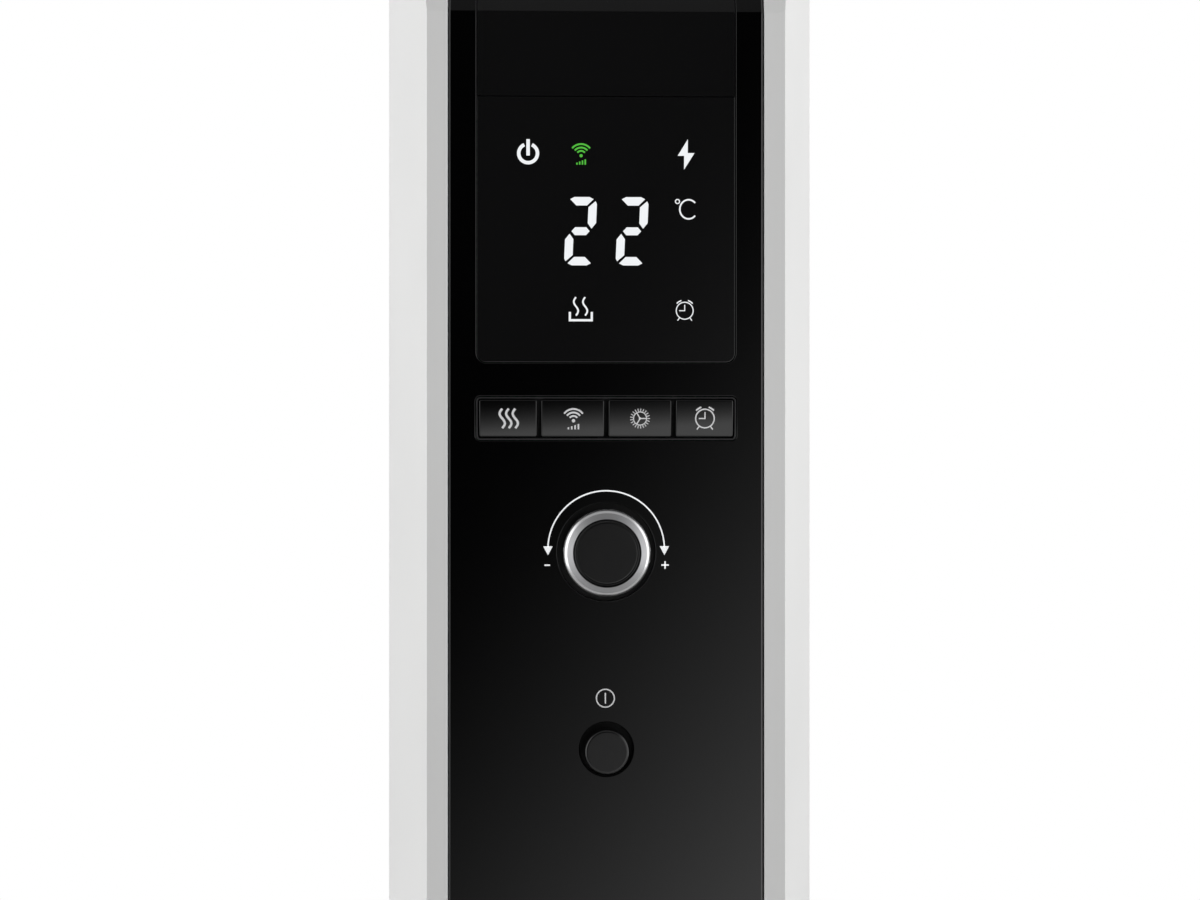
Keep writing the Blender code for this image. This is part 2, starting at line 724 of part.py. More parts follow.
def front_strip(name, bottom, recess, thick, half_width, back_depth):
    """Sheet that follows the housing's front from a height up over the crease and back along the top."""
    def line(inset):
        crease, corner = front_corners(inset)
        return [(inset, bottom), crease, corner, (back_depth, HOUSING_TOP - inset)]

    loop = line(recess) + line(recess + thick)[::-1]
    outer_top = TOP_R - recess
    radii = [0, HOUSING_FRONT_R, outer_top, 0, 0, outer_top - thick, HOUSING_FRONT_R, 0]
    outline = fillet([(FRONT_Y + depth, height) for depth, height in loop], radii, 5)
    return prism(name, "X", outline, -half_width, half_width)


def make_fascia(look):
    """Black fascia: channel for the inserts, opening for the key tray, wells for knob and button."""
    half = FASCIA_WIDTH / 2
    fascia = front_strip(
        "fascia", FASCIA_BOTTOM + GAP, FASCIA_RECESS, FASCIA_THICK, half, FASCIA_TOP_DEPTH - GAP
    )
    wells = (
        (KNOB_Z, KNOB_WELL_R, KNOB_WELL_DEPTH, SHAFT_HOLE_R),
        (POWER_Z, POWER_WELL_R, POWER_WELL_DEPTH, POWER_STEM_R + PLAY),
    )
    for height, radius, depth, hole_r in wells:
        centre = (0.0, height)
        back = FASCIA_FACE + depth + WELL_FLOOR
        boss_start = FASCIA_FACE + FASCIA_THICK / 2
        join(fascia, prism("boss", "Y", circle(radius + WELL_WALL, centre), boss_start, back))
        before = FRONT_Y - FASCIA_THICK
        cut(
            fascia,
            prism("well", "Y", circle(radius, centre), before, FASCIA_FACE + depth),
            prism("hole", "Y", circle(hole_r, centre, 16), before, back + FASCIA_THICK),
        )
    channel_top = HOUSING_TOP + FASCIA_THICK
    channel = rectangle(
        CHANNEL_WIDTH, channel_top - CHANNEL_BOTTOM, (0.0, (channel_top + CHANNEL_BOTTOM) / 2), CHANNEL_R
    )
    behind = FRONT_Y + FASCIA_TOP_DEPTH + FASCIA_THICK
    cut(
        fascia,
        prism("channel", "Y", channel, FRONT_Y - FASCIA_THICK, behind),
        prism(
            "tray", "Y", rectangle(*TRAY_OPENING, (0.0, TRAY_Z), TRAY_CORNER_R),
            FRONT_Y - FASCIA_THICK, FASCIA_FACE + 2 * FASCIA_THICK,
        ),
    )
    finish(fascia, "fascia_panel", look)


def make_inserts(cover_look, window_look):
    """Upper cover and display window, which share the fascia's channel."""
    half = CHANNEL_WIDTH / 2 - GAP
    cover = front_strip(
        "cover", COVER_BOTTOM + GAP / 2, FASCIA_RECESS, INSERT_THICK, half, FASCIA_TOP_DEPTH - GAP
    )
    finish(cover, "upper_cover", cover_look)
    low = CHANNEL_BOTTOM + GAP
    high = COVER_BOTTOM - GAP / 2
    corners = [(-half, low), (half, low), (half, high), (-half, high)]
    round_r = CHANNEL_R - GAP
    outline = fillet(corners, [round_r, round_r, 0, 0])
    window = prism("window", "Y", outline, FASCIA_FACE, FASCIA_FACE + INSERT_THICK)
    finish(window, "display_window", window_look)


def make_keys(tray_look, key_look):
    """Tray sunk in the fascia, and the four keys that move in it."""
    width, height = (size - 2 * GAP for size in TRAY_OPENING)
    back = FASCIA_FACE + TRAY_DEPTH
    outer = rectangle(width, height, (0.0, TRAY_Z), TRAY_CORNER_R - GAP)
    tray = prism("tray", "Y", outer, FASCIA_FACE, back)
    inner = rectangle(
        width - 2 * TRAY_WALL, height - 2 * TRAY_WALL, (0.0, TRAY_Z), TRAY_CORNER_R - GAP - TRAY_WALL
    )
    cut(tray, prism("pocket", "Y", inner, FASCIA_FACE - TRAY_WALL, back - TRAY_FLOOR))
    finish(tray, "key_tray", tray_look)

    face = FRONT_Y - KEY_PROUD
    left = -KEYS_WIDTH / 2
    for name, key_width in zip(KEY_NAMES, KEY_WIDTHS):
        centre = (left + key_width / 2, TRAY_Z)
        edge = PLAY
        key = loft("key", "Y", [
            (face, rectangle(key_width - edge, KEY_HEIGHT - edge, centre, edge, 2)),
            (face + edge, rectangle(key_width, KEY_HEIGHT, centre, edge, 2)),
            (face + KEY_THICK, rectangle(key_width, KEY_HEIGHT, centre, edge, 2)),
        ])
        finish(key, name, key_look, (centre[0], face, TRAY_Z))
        left += key_width + KEY_GAP


def make_knob(ring_look, cap_look, shaft_look, encoder_look):
    """Turning knob: metal ring, cap pressed into it, shaft down into the encoder on the board."""
    centre = (0.0, KNOB_Z)
    origin = (0.0, FRONT_Y, KNOB_Z)
    tip = FRONT_Y - KNOB_PROUD
    back = FASCIA_FACE + KNOB_WELL_DEPTH - KNOB_FLOOR_GAP
    seat = FRONT_Y - KNOB_PROUD / 2
    band = KNOB_BAND
    bore = SHAFT_R + GAP
    ring = turn_bored("ring", "Y", [
        (bore, back),
        (KNOB_R, back),
        (KNOB_R, tip + band),
        (KNOB_R - band * 0.3, tip + band * 0.3),
        (KNOB_R - band, tip),
        (KNOB_CAP_R + 2 * GAP, tip + KNOB_CAP_SINK),
        (KNOB_CAP_R + GAP, seat),
        (bore, seat),
    ], centre)
    finish(ring, "knob_ring", ring_look, origin)
    cap = turn("cap", "Y", [
        (KNOB_CAP_R - GAP, tip + KNOB_CAP_SINK),
        (KNOB_CAP_R, tip + KNOB_CAP_SINK + GAP),
        (KNOB_CAP_R, seat - GAP),
    ], centre)
    finish(cap, "knob_cap", cap_look, origin)
    encoder_front = FASCIA_FACE + KNOB_WELL_DEPTH + WELL_FLOOR + GAP
    encoder_back = BOARD_Y - GAP
    shaft_end = (encoder_front + encoder_back) / 2
    shaft = prism("shaft", "Y", circle(SHAFT_R, centre, 16), seat, shaft_end)
    finish(shaft, "knob_shaft", shaft_look, origin)
    half = ENCODER_SIZE / 2
    encoder = box("encoder", (-half, encoder_front, KNOB_Z - half), (half, encoder_back, KNOB_Z + half))
    socket = circle(SHAFT_R + RUNNING, centre, 16)
    cut(encoder, prism("socket", "Y", socket, seat, shaft_end + 2 * GAP))
    finish(encoder, "rotary_encoder", encoder_look)


def make_power_button(look, switch_look):
    """Push button with a stem through its well into the power switch."""
    centre = (0.0, POWER_Z)
    tip = FRONT_Y - POWER_PROUD
    switch_front = FASCIA_FACE + POWER_WELL_DEPTH + WELL_FLOOR + GAP
    skirt = FASCIA_FACE + POWER_SKIRT
    edge = PLAY
    button = turn("button", "Y", [
        (POWER_R - edge, tip),
        (POWER_R, tip + edge),
        (POWER_R, skirt),
        (POWER_STEM_R, skirt),
        (POWER_STEM_R, switch_front + POWER_STEM_REACH / 2),
    ], centre)
    finish(button, "power_button", look, (0.0, FRONT_Y, POWER_Z))
    half = SWITCH_SIZE / 2
    switch = box(
        "switch", (-half, switch_front, POWER_Z - half), (half, BOARD_Y - GAP, POWER_Z + half)
    )
    socket = circle(POWER_STEM_R + PLAY, centre, 16)
    depth = switch_front + POWER_STEM_REACH / 2 + POWER_TRAVEL + PLAY
    cut(switch, prism("socket", "Y", socket, tip, depth))
    finish(switch, "power_switch", switch_look)


def make_electrics(looks):
    """Control board with the display module, power board with its blocks, and the thermal cut-out."""
    module_z = (CHANNEL_BOTTOM + COVER_BOTTOM) / 2
    width = CHANNEL_WIDTH - 2 * DISPLAY_MARGIN
    height = COVER_BOTTOM - CHANNEL_BOTTOM - 2 * DISPLAY_MARGIN
    front = FASCIA_FACE + INSERT_THICK + GAP
    outline = rectangle(width, height, (0.0, module_z), CHANNEL_R)
    finish(prism("module", "Y", outline, front, BOARD_Y - GAP), "display_module", looks["module"])

    low = POWER_Z - SWITCH_SIZE
    high = module_z + height / 2
    board = rectangle(BOARD_WIDTH, high - low, (0.0, (high + low) / 2), CHANNEL_R)
    finish(prism("board", "Y", board, BOARD_Y, BOARD_Y + BOARD_THICK), "control_board", looks["board"])

    plate = BACK_PLATE_Y - BACK_PLATE - GAP
    board_back = plate - POWER_BOARD_POST
    board_front = board_back - BOARD_THICK
    width, height = POWER_BOARD_SIZE
    outline = rectangle(width, height, (0.0, POWER_BOARD_Z), CHANNEL_R)
    power_board = prism("power_board", "Y", outline, board_front, board_back)
    for side in (-1, 1):
        for level in (-1, 1):
            x = side * (width / 2 - 2 * POWER_BOARD_POST_R)
            z = POWER_BOARD_Z + level * (height / 2 - 2 * POWER_BOARD_POST_R)
            post = circle(POWER_BOARD_POST_R, (x, z), 8)
            join(power_board, prism("post", "Y", post, board_back - BOARD_THICK / 2, plate))
    finish(power_board, "power_board", looks["board"])

    blocks = (
        ("terminal_block", TERMINAL_SIZE, POWER_BOARD_Z + BLOCK_OFFSET, looks["module"]),
        ("tilt_switch", TILT_SWITCH_SIZE, POWER_BOARD_Z - BLOCK_OFFSET, looks["tray"]),
    )
    for name, (wide, deep, tall), z, look in blocks:
        back = board_front - GAP
        block = box(name, (-wide / 2, back - deep, z - tall / 2), (wide / 2, back, z + tall / 2))
        finish(block, name, look)

    cutout = turn("cutout", "Y", [
        (CUTOUT_R * 0.6, plate - CUTOUT_HEIGHT),
        (CUTOUT_R, plate - CUTOUT_HEIGHT * 0.8),
        (CUTOUT_R, plate),
    ], (0.0, POWER_BOARD_Z - POWER_BOARD_SIZE[1] / 2 - CUTOUT_GAP), 16)
    finish(cutout, "thermal_cutout", looks["zinc"])


def make_gland(look):
    """Cord gland under the housing: a collar, a sleeve and a bore that the cord comes out of."""
    top = HOUSING_BOTTOM - GAP
    centre = (0.0, FRONT_Y + GLAND_DEPTH)
    end = top - GLAND_LENGTH
    gland = turn("gland", "Z", [
        (GLAND_R * 0.85, end),
        (GLAND_R, end + GLAND_COLLAR),
        (GLAND_R, top - GLAND_COLLAR),
        (GLAND_COLLAR_R, top - GLAND_COLLAR),
        (GLAND_COLLAR_R, top),
    ], centre)
    bore = circle(GLAND_BORE_R, centre)
    finish(cut(gland, prism("bore", "Z", bore, 0.0, end + GLAND_BORE_DEPTH)), "cable_gland", look)


# ---------------------------------------------------------------- assembly

def clear_scene():
    """Start from nothing."""
    for old in list(bpy.data.objects):
        bpy.data.objects.remove(old)


def main():
    clear_scene()
    looks = {
        "enamel": material("white_enamel", (0.86, 0.86, 0.85), 0.30),
        "shell": material("white_plastic", (0.88, 0.88, 0.87), 0.35),
        "fascia": material("black_gloss", (0.004, 0.004, 0.005), 0.05),
        "window": material("smoked_window", (0.006, 0.006, 0.007), 0.04),
        "key": material("key_black", (0.010, 0.010, 0.011), 0.22),
        "tray": material("black_plastic", (0.012, 0.012, 0.013), 0.50),
        "chrome": material("satin_chrome", (0.60, 0.60, 0.61), 0.22, 1.0),
        "zinc": material("zinc_steel", (0.55, 0.56, 0.57), 0.35, 1.0),
        "steel": material("back_plate_steel", (0.62, 0.63, 0.64), 0.45, 1.0),
        "foot": material("foot_enamel", (0.82, 0.82, 0.81), 0.38),
        "castor": material("castor_plastic", (0.020, 0.020, 0.022), 0.45),
        "wheel": material("wheel_rubber", (0.035, 0.035, 0.037), 0.65),
        "board": material("board_green", (0.020, 0.110, 0.050), 0.45),
        "module": material("module_grey", (0.30, 0.31, 0.32), 0.55),
        "brass": material("plug_brass", (0.70, 0.55, 0.28), 0.35, 1.0),
    }
    make_fins(looks["enamel"])
    make_plugs(looks["zinc"])
    make_element(looks["zinc"], looks["brass"])
    for end in FOOT_YS:
        make_foot_bar(end, looks["foot"])
        make_u_bolt(end, looks["zinc"])
        for side_name, side in SIDES:
            make_wing_nut(end, side_name, side, looks["zinc"])
            make_castor(end, side_name, side, looks)
    make_housing(looks["shell"])
    make_back_plate(looks["steel"])
    make_screws(looks["zinc"])
    make_fascia(looks["fascia"])
    make_inserts(looks["fascia"], looks["window"])
    make_keys(looks["tray"], looks["key"])
    make_knob(looks["chrome"], looks["fascia"], looks["zinc"], looks["module"])
    make_power_button(looks["key"], looks["module"])
    make_electrics(looks)
    make_gland(looks["tray"])


main()
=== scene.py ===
"""Looks of an oil filled radiator heater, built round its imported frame.

Nine pressed fins stand on two foot bars with swivel castors. A flared white housing closes the front
end: its black fascia holds a display, four keys, a turning knob and a push button.
"""

from math import atan2, cos, hypot, pi, radians, sin, tan

import bmesh
import bpy
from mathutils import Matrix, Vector


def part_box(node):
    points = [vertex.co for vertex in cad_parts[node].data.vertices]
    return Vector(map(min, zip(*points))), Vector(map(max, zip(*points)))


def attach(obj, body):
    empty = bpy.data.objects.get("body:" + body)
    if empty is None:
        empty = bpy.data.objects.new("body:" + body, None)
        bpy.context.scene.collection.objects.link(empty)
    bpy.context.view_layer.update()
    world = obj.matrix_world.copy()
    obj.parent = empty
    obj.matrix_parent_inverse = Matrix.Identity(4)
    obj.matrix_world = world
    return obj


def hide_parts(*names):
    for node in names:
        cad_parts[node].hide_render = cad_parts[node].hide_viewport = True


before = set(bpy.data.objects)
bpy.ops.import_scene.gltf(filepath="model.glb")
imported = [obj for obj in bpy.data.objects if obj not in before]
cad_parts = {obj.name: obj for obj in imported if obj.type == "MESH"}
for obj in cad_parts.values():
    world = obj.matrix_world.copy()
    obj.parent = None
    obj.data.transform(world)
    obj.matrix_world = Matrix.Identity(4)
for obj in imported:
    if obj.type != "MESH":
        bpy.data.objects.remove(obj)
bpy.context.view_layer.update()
MM = 0.001


# ------------------------------------------------------------------ camera and studio
# The camera stands level in front of the control housing, a little to its left. The heater stands on a
# pale round floor in a white room: bright to both sides, and dim straight ahead of the fascia, where the
# room fades from dark at the upper left to light at the lower right.

CAMERA_DISTANCE = 0.820
CAMERA_HEIGHT = 0.442
CAMERA_X = -0.0264
CAMERA_AIM_X = -0.0023
CAMERA_LENS = 68.3
FLOOR_RADIUS = 1.10
FLOOR_FADE = 0.55            # where the floor starts to fade into the white room
ROOM_LIGHT = 0.63            # strength of the room's plain white
SIDE_GAIN = 1.92             # what its two sides add to that
SIDE_LIGHT = (0.58, 0.93)    # sine of the angle to either side: where they start and are at their full
SIDE_FIELD = (0.80, 0.92)    # dim field, cosine of the angle to either side: its start and its full depth
LOW_FIELD = (-0.60, -0.39)   # sine of the angle below the axis, likewise
HIGH_FIELD = (0.88, 0.71)    # sine of the angle above the axis, likewise
FADE_ACROSS = 0.95           # how fast the dim field lightens towards the right
FADE_UPWARD = -0.70          # and towards the top
FADE_START = 0.053
FADE_LIMIT = 0.33
FADE_POWER = 2.4
FADE_GAIN = 25.0
LEAST_AHEAD = 0.05           # keeps the division by the forward part of a direction finite


def add_node(tree, kind, inputs=None, **settings):
    """Add a node to a tree, set its options, and set or link its inputs."""
    made = tree.nodes.new(kind)
    for setting, value in settings.items():
        setattr(made, setting, value)
    for socket, value in (inputs or {}).items():
        if isinstance(value, bpy.types.NodeSocket):
            tree.links.new(value, made.inputs[socket])
        else:
            made.inputs[socket].default_value = value
    return made


def maths(tree, operation, *values, clamp=False):
    """Output of a Math node on one to three values."""
    inputs = dict(enumerate(values))
    return add_node(tree, "ShaderNodeMath", inputs, operation=operation, use_clamp=clamp).outputs[0]


def ramp(tree, value, low, high, low_out=0.0, high_out=1.0, smooth=True):
    """Value carried from one range to another, smoothly and held at both ends."""
    kind = "SMOOTHSTEP" if smooth else "LINEAR"
    inputs = {"Value": value, "From Min": low, "From Max": high, "To Min": low_out, "To Max": high_out}
    return add_node(tree, "ShaderNodeMapRange", inputs, interpolation_type=kind).outputs["Result"]


def node_box(node):
    """Low and high corners of a CAD node's box."""
    low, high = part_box(node)
    return Vector(low), Vector(high)


fascia_low, fascia_high = node_box("fascia_panel")
shell_low, shell_high = node_box("housing_shell")
front_y = shell_low.y

camera_data = bpy.data.cameras.new("camera")
camera_data.lens = CAMERA_LENS
camera_data.sensor_width = 36.0
camera_data.clip_start = 0.01
camera = bpy.data.objects.new("camera", camera_data)
camera.location = (CAMERA_X, front_y - CAMERA_DISTANCE, CAMERA_HEIGHT)
aim = Vector((CAMERA_AIM_X, front_y, CAMERA_HEIGHT)) - camera.location
camera.rotation_euler = aim.to_track_quat("-Z", "Y").to_euler()
bpy.context.scene.collection.objects.link(camera)
bpy.context.scene.camera = camera
bpy.context.scene.view_settings.view_transform = "Standard"

room = bpy.data.worlds.new("white_room")
bpy.context.scene.world = room
room.use_nodes = True
tree = room.node_tree
tree.nodes.clear()
direction = add_node(tree, "ShaderNodeTexCoord").outputs["Generated"]
axes = add_node(tree, "ShaderNodeSeparateXYZ", {0: direction}).outputs
ahead = maths(tree, "MAXIMUM", maths(tree, "MULTIPLY", axes["Y"], -1.0), LEAST_AHEAD)
across = maths(tree, "DIVIDE", axes["X"], ahead)
upward = maths(tree, "DIVIDE", axes["Z"], ahead)
slope = maths(tree, "MULTIPLY_ADD", across, FADE_ACROSS, FADE_START)
slope = maths(tree, "MULTIPLY_ADD", upward, FADE_UPWARD, slope)
slope = maths(tree, "MINIMUM", maths(tree, "MAXIMUM", slope, 0.0), FADE_LIMIT)
dim = maths(tree, "MULTIPLY", maths(tree, "POWER", slope, FADE_POWER), FADE_GAIN)
sideways = ramp(tree, maths(tree, "ABSOLUTE", axes["X"]), *SIDE_LIGHT)
bright = maths(tree, "MULTIPLY_ADD", sideways, SIDE_GAIN, ROOM_LIGHT)
beside = maths(tree, "COSINE", maths(tree, "ARCTANGENT", across))
field = maths(tree, "MULTIPLY", ramp(tree, beside, *SIDE_FIELD), ramp(tree, axes["Z"], *LOW_FIELD))
field = maths(tree, "MULTIPLY", field, ramp(tree, axes["Z"], HIGH_FIELD[1], HIGH_FIELD[0], 1.0, 0.0))
light = ramp(tree, field, 0.0, 1.0, bright, dim, smooth=False)
lit = add_node(tree, "ShaderNodeBackground", {"Strength": light})
seen = add_node(tree, "ShaderNodeBackground", {"Color": (1, 1, 1, 1), "Strength": 1.0})
to_camera = add_node(tree, "ShaderNodeLightPath").outputs["Is Camera Ray"]
mixed = add_node(tree, "ShaderNodeMixShader", {0: to_camera, 1: lit.outputs[0], 2: seen.outputs[0]})
add_node(tree, "ShaderNodeOutputWorld", {"Surface": mixed.outputs[0]})

floor_mesh = bpy.data.meshes.new("floor")
bm = bmesh.new()
bmesh.ops.create_circle(bm, cap_ends=True, segments=128, radius=FLOOR_RADIUS)
bm.to_mesh(floor_mesh)
bm.free()
floor = bpy.data.objects.new("floor", floor_mesh)
bpy.context.scene.collection.objects.link(floor)
floor_look = bpy.data.materials.new("pale_floor")
floor_look.use_nodes = True
tree = floor_look.node_tree
tree.nodes.clear()
position = add_node(tree, "ShaderNodeTexCoord").outputs["Object"]
reach = add_node(tree, "ShaderNodeVectorMath", {0: position}, operation="LENGTH").outputs["Value"]
fade = ramp(tree, reach, FLOOR_FADE, FLOOR_RADIUS * 0.97)
speckle = add_node(tree, "ShaderNodeTexNoise", {"Vector": position, "Scale": 260.0, "Detail": 3.0})
tone = add_node(
    tree, "ShaderNodeMix",
    {"Factor": speckle.outputs["Fac"], "A": (0.80, 0.80, 0.795, 1), "B": (0.84, 0.84, 0.835, 1)},
    data_type="RGBA",
)
matt = add_node(tree, "ShaderNodeBsdfDiffuse", {"Color": tone.outputs["Result"]})
glow = add_node(tree, "ShaderNodeEmission", {"Color": (1, 1, 1, 1), "Strength": 1.0})
mixed = add_node(tree, "ShaderNodeMixShader", {0: fade, 1: matt.outputs[0], 2: glow.outputs[0]})
add_node(tree, "ShaderNodeOutputMaterial", {"Surface": mixed.outputs[0]})
floor_mesh.materials.append(floor_look)


# ------------------------------------------------------------------ fins
# Each fin is two pressed steel shells seam welded round their rim, with two vertical valleys where they
# are spot welded together and three oil channels between. Hubs at top and bottom join it to the next
# fin. The row is baked with white enamel, which shows a faint orange peel.

FIN_COUNT = 9
FIN_CORNER = 0.030
FIN_SEAM = 0.007
FIN_SHOULDER = 0.006
FIN_SEAM_HALF = 0.001     # half thickness of the welded seam
FIN_HALF = 0.005          # half thickness at the channels
FIN_CROWN = 0.0005        # how much a channel falls off towards its valleys
FIN_HUB_INSET = 0.048
HUB_TIP = 0.020
HUB_ROOT = 0.0295
HUB_STRAIGHT = 0.0055
GALLERY_BORE = 0.014
VALLEY_X = 0.0225
VALLEY_HALF = 0.0035      # half width of a valley's floor
VALLEY_SLOPE = 0.0065
VALLEY_END = 0.185        # half height of a valley
VALLEY_DEPTH = 0.93       # share of a channel's height that a valley takes away
SPOT_COUNT = 9
SPOT_RADIUS = 0.0028
SPOT_RISE = 0.0004


def fade_between(value, low, high):
    """Smooth step from 0 at low to 1 at high."""
    part = min(max((value - low) / (high - low), 0.0), 1.0)
    return part * part * (3 - 2 * part)


def add_piece(name, bm, sharp=30.0):
    """Close a bmesh into a linked object with its faces outwards, smooth between its sharp edges."""
    bmesh.ops.remove_doubles(bm, verts=bm.verts, dist=1e-7)
    bmesh.ops.recalc_face_normals(bm, faces=bm.faces)
    mesh = bpy.data.meshes.new(name)
    bm.to_mesh(mesh)
    bm.free()
    mesh.shade_smooth()
    mesh.set_sharp_from_angle(angle=radians(sharp))
    piece = bpy.data.objects.new(name, mesh)
    bpy.context.scene.collection.objects.link(piece)
    return piece


def on_axis(axis, across, along):
    """Point from an outline's two values and a position along the axis that it is extruded on."""
    if axis == "X":
        return (along, across[0], across[1])
    if axis == "Y":
        return (across[0], along, across[1])
    return (across[0], across[1], along)


def circle(radius, centre=(0.0, 0.0), sides=64):
    """Round outline."""
    steps = (2 * pi * side / sides for side in range(sides))
    return [(centre[0] + radius * cos(step), centre[1] + radius * sin(step)) for step in steps]


def skin(bm, rings, closed=False):
    """Faces between rings of equal length. Open rings get end caps, closed ones join up."""
    last = len(rings) if closed else len(rings) - 1
    for number in range(last):
        ring, other = rings[number], rings[(number + 1) % len(rings)]
        for index in range(len(ring)):
            after = (index + 1) % len(ring)
            bm.faces.new((ring[index], ring[after], other[after], other[index]))
    if not closed:
        bm.faces.new(rings[0])
        bm.faces.new(rings[-1])


def lathe(bm, axis, profile, centre, sides=64, closed=False):
    """Turned shape: profile of (radius, position along the axis). A closed profile leaves a bore."""
    skin(bm, [
        [bm.verts.new(on_axis(axis, point, along)) for point in circle(radius, centre, sides)]
        for radius, along in profile
    ], closed)


def apply_modifiers(piece):
    """Turn a piece and its modifiers into a plain mesh."""
    graph = bpy.context.evaluated_depsgraph_get()
    mesh = bpy.data.meshes.new_from_object(piece.evaluated_get(graph))
    piece.modifiers.clear()
    old = piece.data
    piece.data = mesh
    bpy.data.meshes.remove(old)
    mesh.name = piece.name
    return piece


def hand_over(piece, look, slot, *nodes, body="root"):
    """Give a piece its material and its body, and hide the CAD nodes that it stands for. slot is not used."""
    if look is not None:
        piece.data.materials.clear()
        piece.data.materials.append(look)
    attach(piece, body)
    if nodes:
        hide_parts(*nodes)


def make_grain():
    """Shader group shared by every finish: slow drift, fine grain and the roughness they give."""
    group = bpy.data.node_groups.new("surface_grain", "ShaderNodeTree")
    face = group.interface
    face.new_socket("Position", in_out="INPUT", socket_type="NodeSocketVector")
    for name in ("Grain Scale", "Drift Scale", "Low Roughness", "High Roughness"):
        face.new_socket(name, in_out="INPUT", socket_type="NodeSocketFloat")
    for name in ("Drift", "Roughness", "Height"):
        face.new_socket(name, in_out="OUTPUT", socket_type="NodeSocketFloat")
    given = group.nodes.new("NodeGroupInput").outputs
    grain = add_node(
        group, "ShaderNodeTexNoise",
        {"Vector": given["Position"], "Scale": given["Grain Scale"], "Detail": 3.0, "Roughness": 0.55},
    ).outputs["Fac"]
    drift = add_node(
        group, "ShaderNodeTexNoise",
        {"Vector": given["Position"], "Scale": given["Drift Scale"], "Detail": 2.0},
    ).outputs["Fac"]
    both = maths(group, "MULTIPLY_ADD", grain, 0.5, maths(group, "MULTIPLY", drift, 0.5))
    rough = ramp(group, both, 0.35, 0.65, given["Low Roughness"], given["High Roughness"])
    add_node(group, "NodeGroupOutput", {"Drift": drift, "Roughness": rough, "Height": grain})
    return group


surface_grain = make_grain()


def make_finish(name, colours, roughness, grain, drift=12.0, bump=0.02, metallic=0.0, coat=0.0, ior=1.5):
    """Material with drifting colour, grained roughness and a fine bump.

    grain is the number of grains to a metre, and bump their height in millimetres.
    """
    look = bpy.data.materials.new(name)
    look.use_nodes = True
    tree = look.node_tree
    shader = tree.nodes["Principled BSDF"]
    shader.inputs["Metallic"].default_value = metallic
    shader.inputs["Coat Weight"].default_value = coat
    shader.inputs["IOR"].default_value = ior
    position = add_node(tree, "ShaderNodeTexCoord").outputs["Object"]
    group = tree.nodes.new("ShaderNodeGroup")
    group.node_tree = surface_grain
    tree.links.new(position, group.inputs["Position"])
    group.inputs["Grain Scale"].default_value = grain
    group.inputs["Drift Scale"].default_value = drift
    group.inputs["Low Roughness"].default_value = roughness[0]
    group.inputs["High Roughness"].default_value = roughness[1]
    tint = add_node(
        tree, "ShaderNodeMix",
        {"Factor": group.outputs["Drift"], "A": (*colours[0], 1), "B": (*colours[1], 1)},
        data_type="RGBA",
    )
    relief = add_node(
        tree, "ShaderNodeBump",
        {"Height": group.outputs["Height"], "Strength": 1.0, "Distance": bump * MM},
    )
    tree.links.new(tint.outputs["Result"], shader.inputs["Base Color"])
    tree.links.new(group.outputs["Roughness"], shader.inputs["Roughness"])
    tree.links.new(relief.outputs["Normal"], shader.inputs["Normal"])
    return look


fin_enamel = make_finish(
    "fin_enamel", ((0.77, 0.77, 0.762), (0.80, 0.80, 0.795)), (0.20, 0.28), 420.0, bump=0.010, coat=0.25
)

fin_low, fin_high = node_box("fin_1")
fin_size = fin_high - fin_low
fin_middle = (fin_low + fin_high) / 2
fin_pitch = (node_box("fin_2")[0] - fin_low).y


def rim_distance(x, z):
    """How far a place on a fin lies inside its rounded rim."""
    over_x = abs(x) - (fin_size.x / 2 - FIN_CORNER)
    over_z = abs(z) - (fin_size.z / 2 - FIN_CORNER)
    beyond = hypot(max(over_x, 0.0), max(over_z, 0.0))
    return FIN_CORNER - beyond - min(max(over_x, over_z), 0.0)


def half_thickness(x, z):
    """Pressed relief of a fin: seam, shoulder, crowned channels and the valleys between them."""
    inside = rim_distance(x, z)
    edge = FIN_SEAM_HALF * (0.45 + 0.55 * fade_between(inside, 0.0, 0.0006))
    raised = fade_between(inside, FIN_SEAM, FIN_SEAM + FIN_SHOULDER)
    side = abs(abs(x) - VALLEY_X)
    past_end = max(abs(z) - VALLEY_END, 0.0)
    valley = 1 - fade_between(hypot(side, past_end), VALLEY_HALF, VALLEY_HALF + VALLEY_SLOPE)
    crown = FIN_CROWN * (1 - valley) * cos(pi * min(side / VALLEY_X, 1.0) / 2)
    channel = (FIN_HALF - FIN_SEAM_HALF - crown) * raised * (1 - VALLEY_DEPTH * valley)
    return edge + channel


def fin_stations(half, insets, pitch):
    """Insets close together at a rim, and evenly spaced shares of the width between the rims."""
    near = [inset * MM for inset in insets]
    inner = half - near[-1]
    count = round(2 * inner / pitch)
    middle = [-inner + 2 * inner * step / count for step in range(1, count)]
    return near, [place / inner for place in middle]


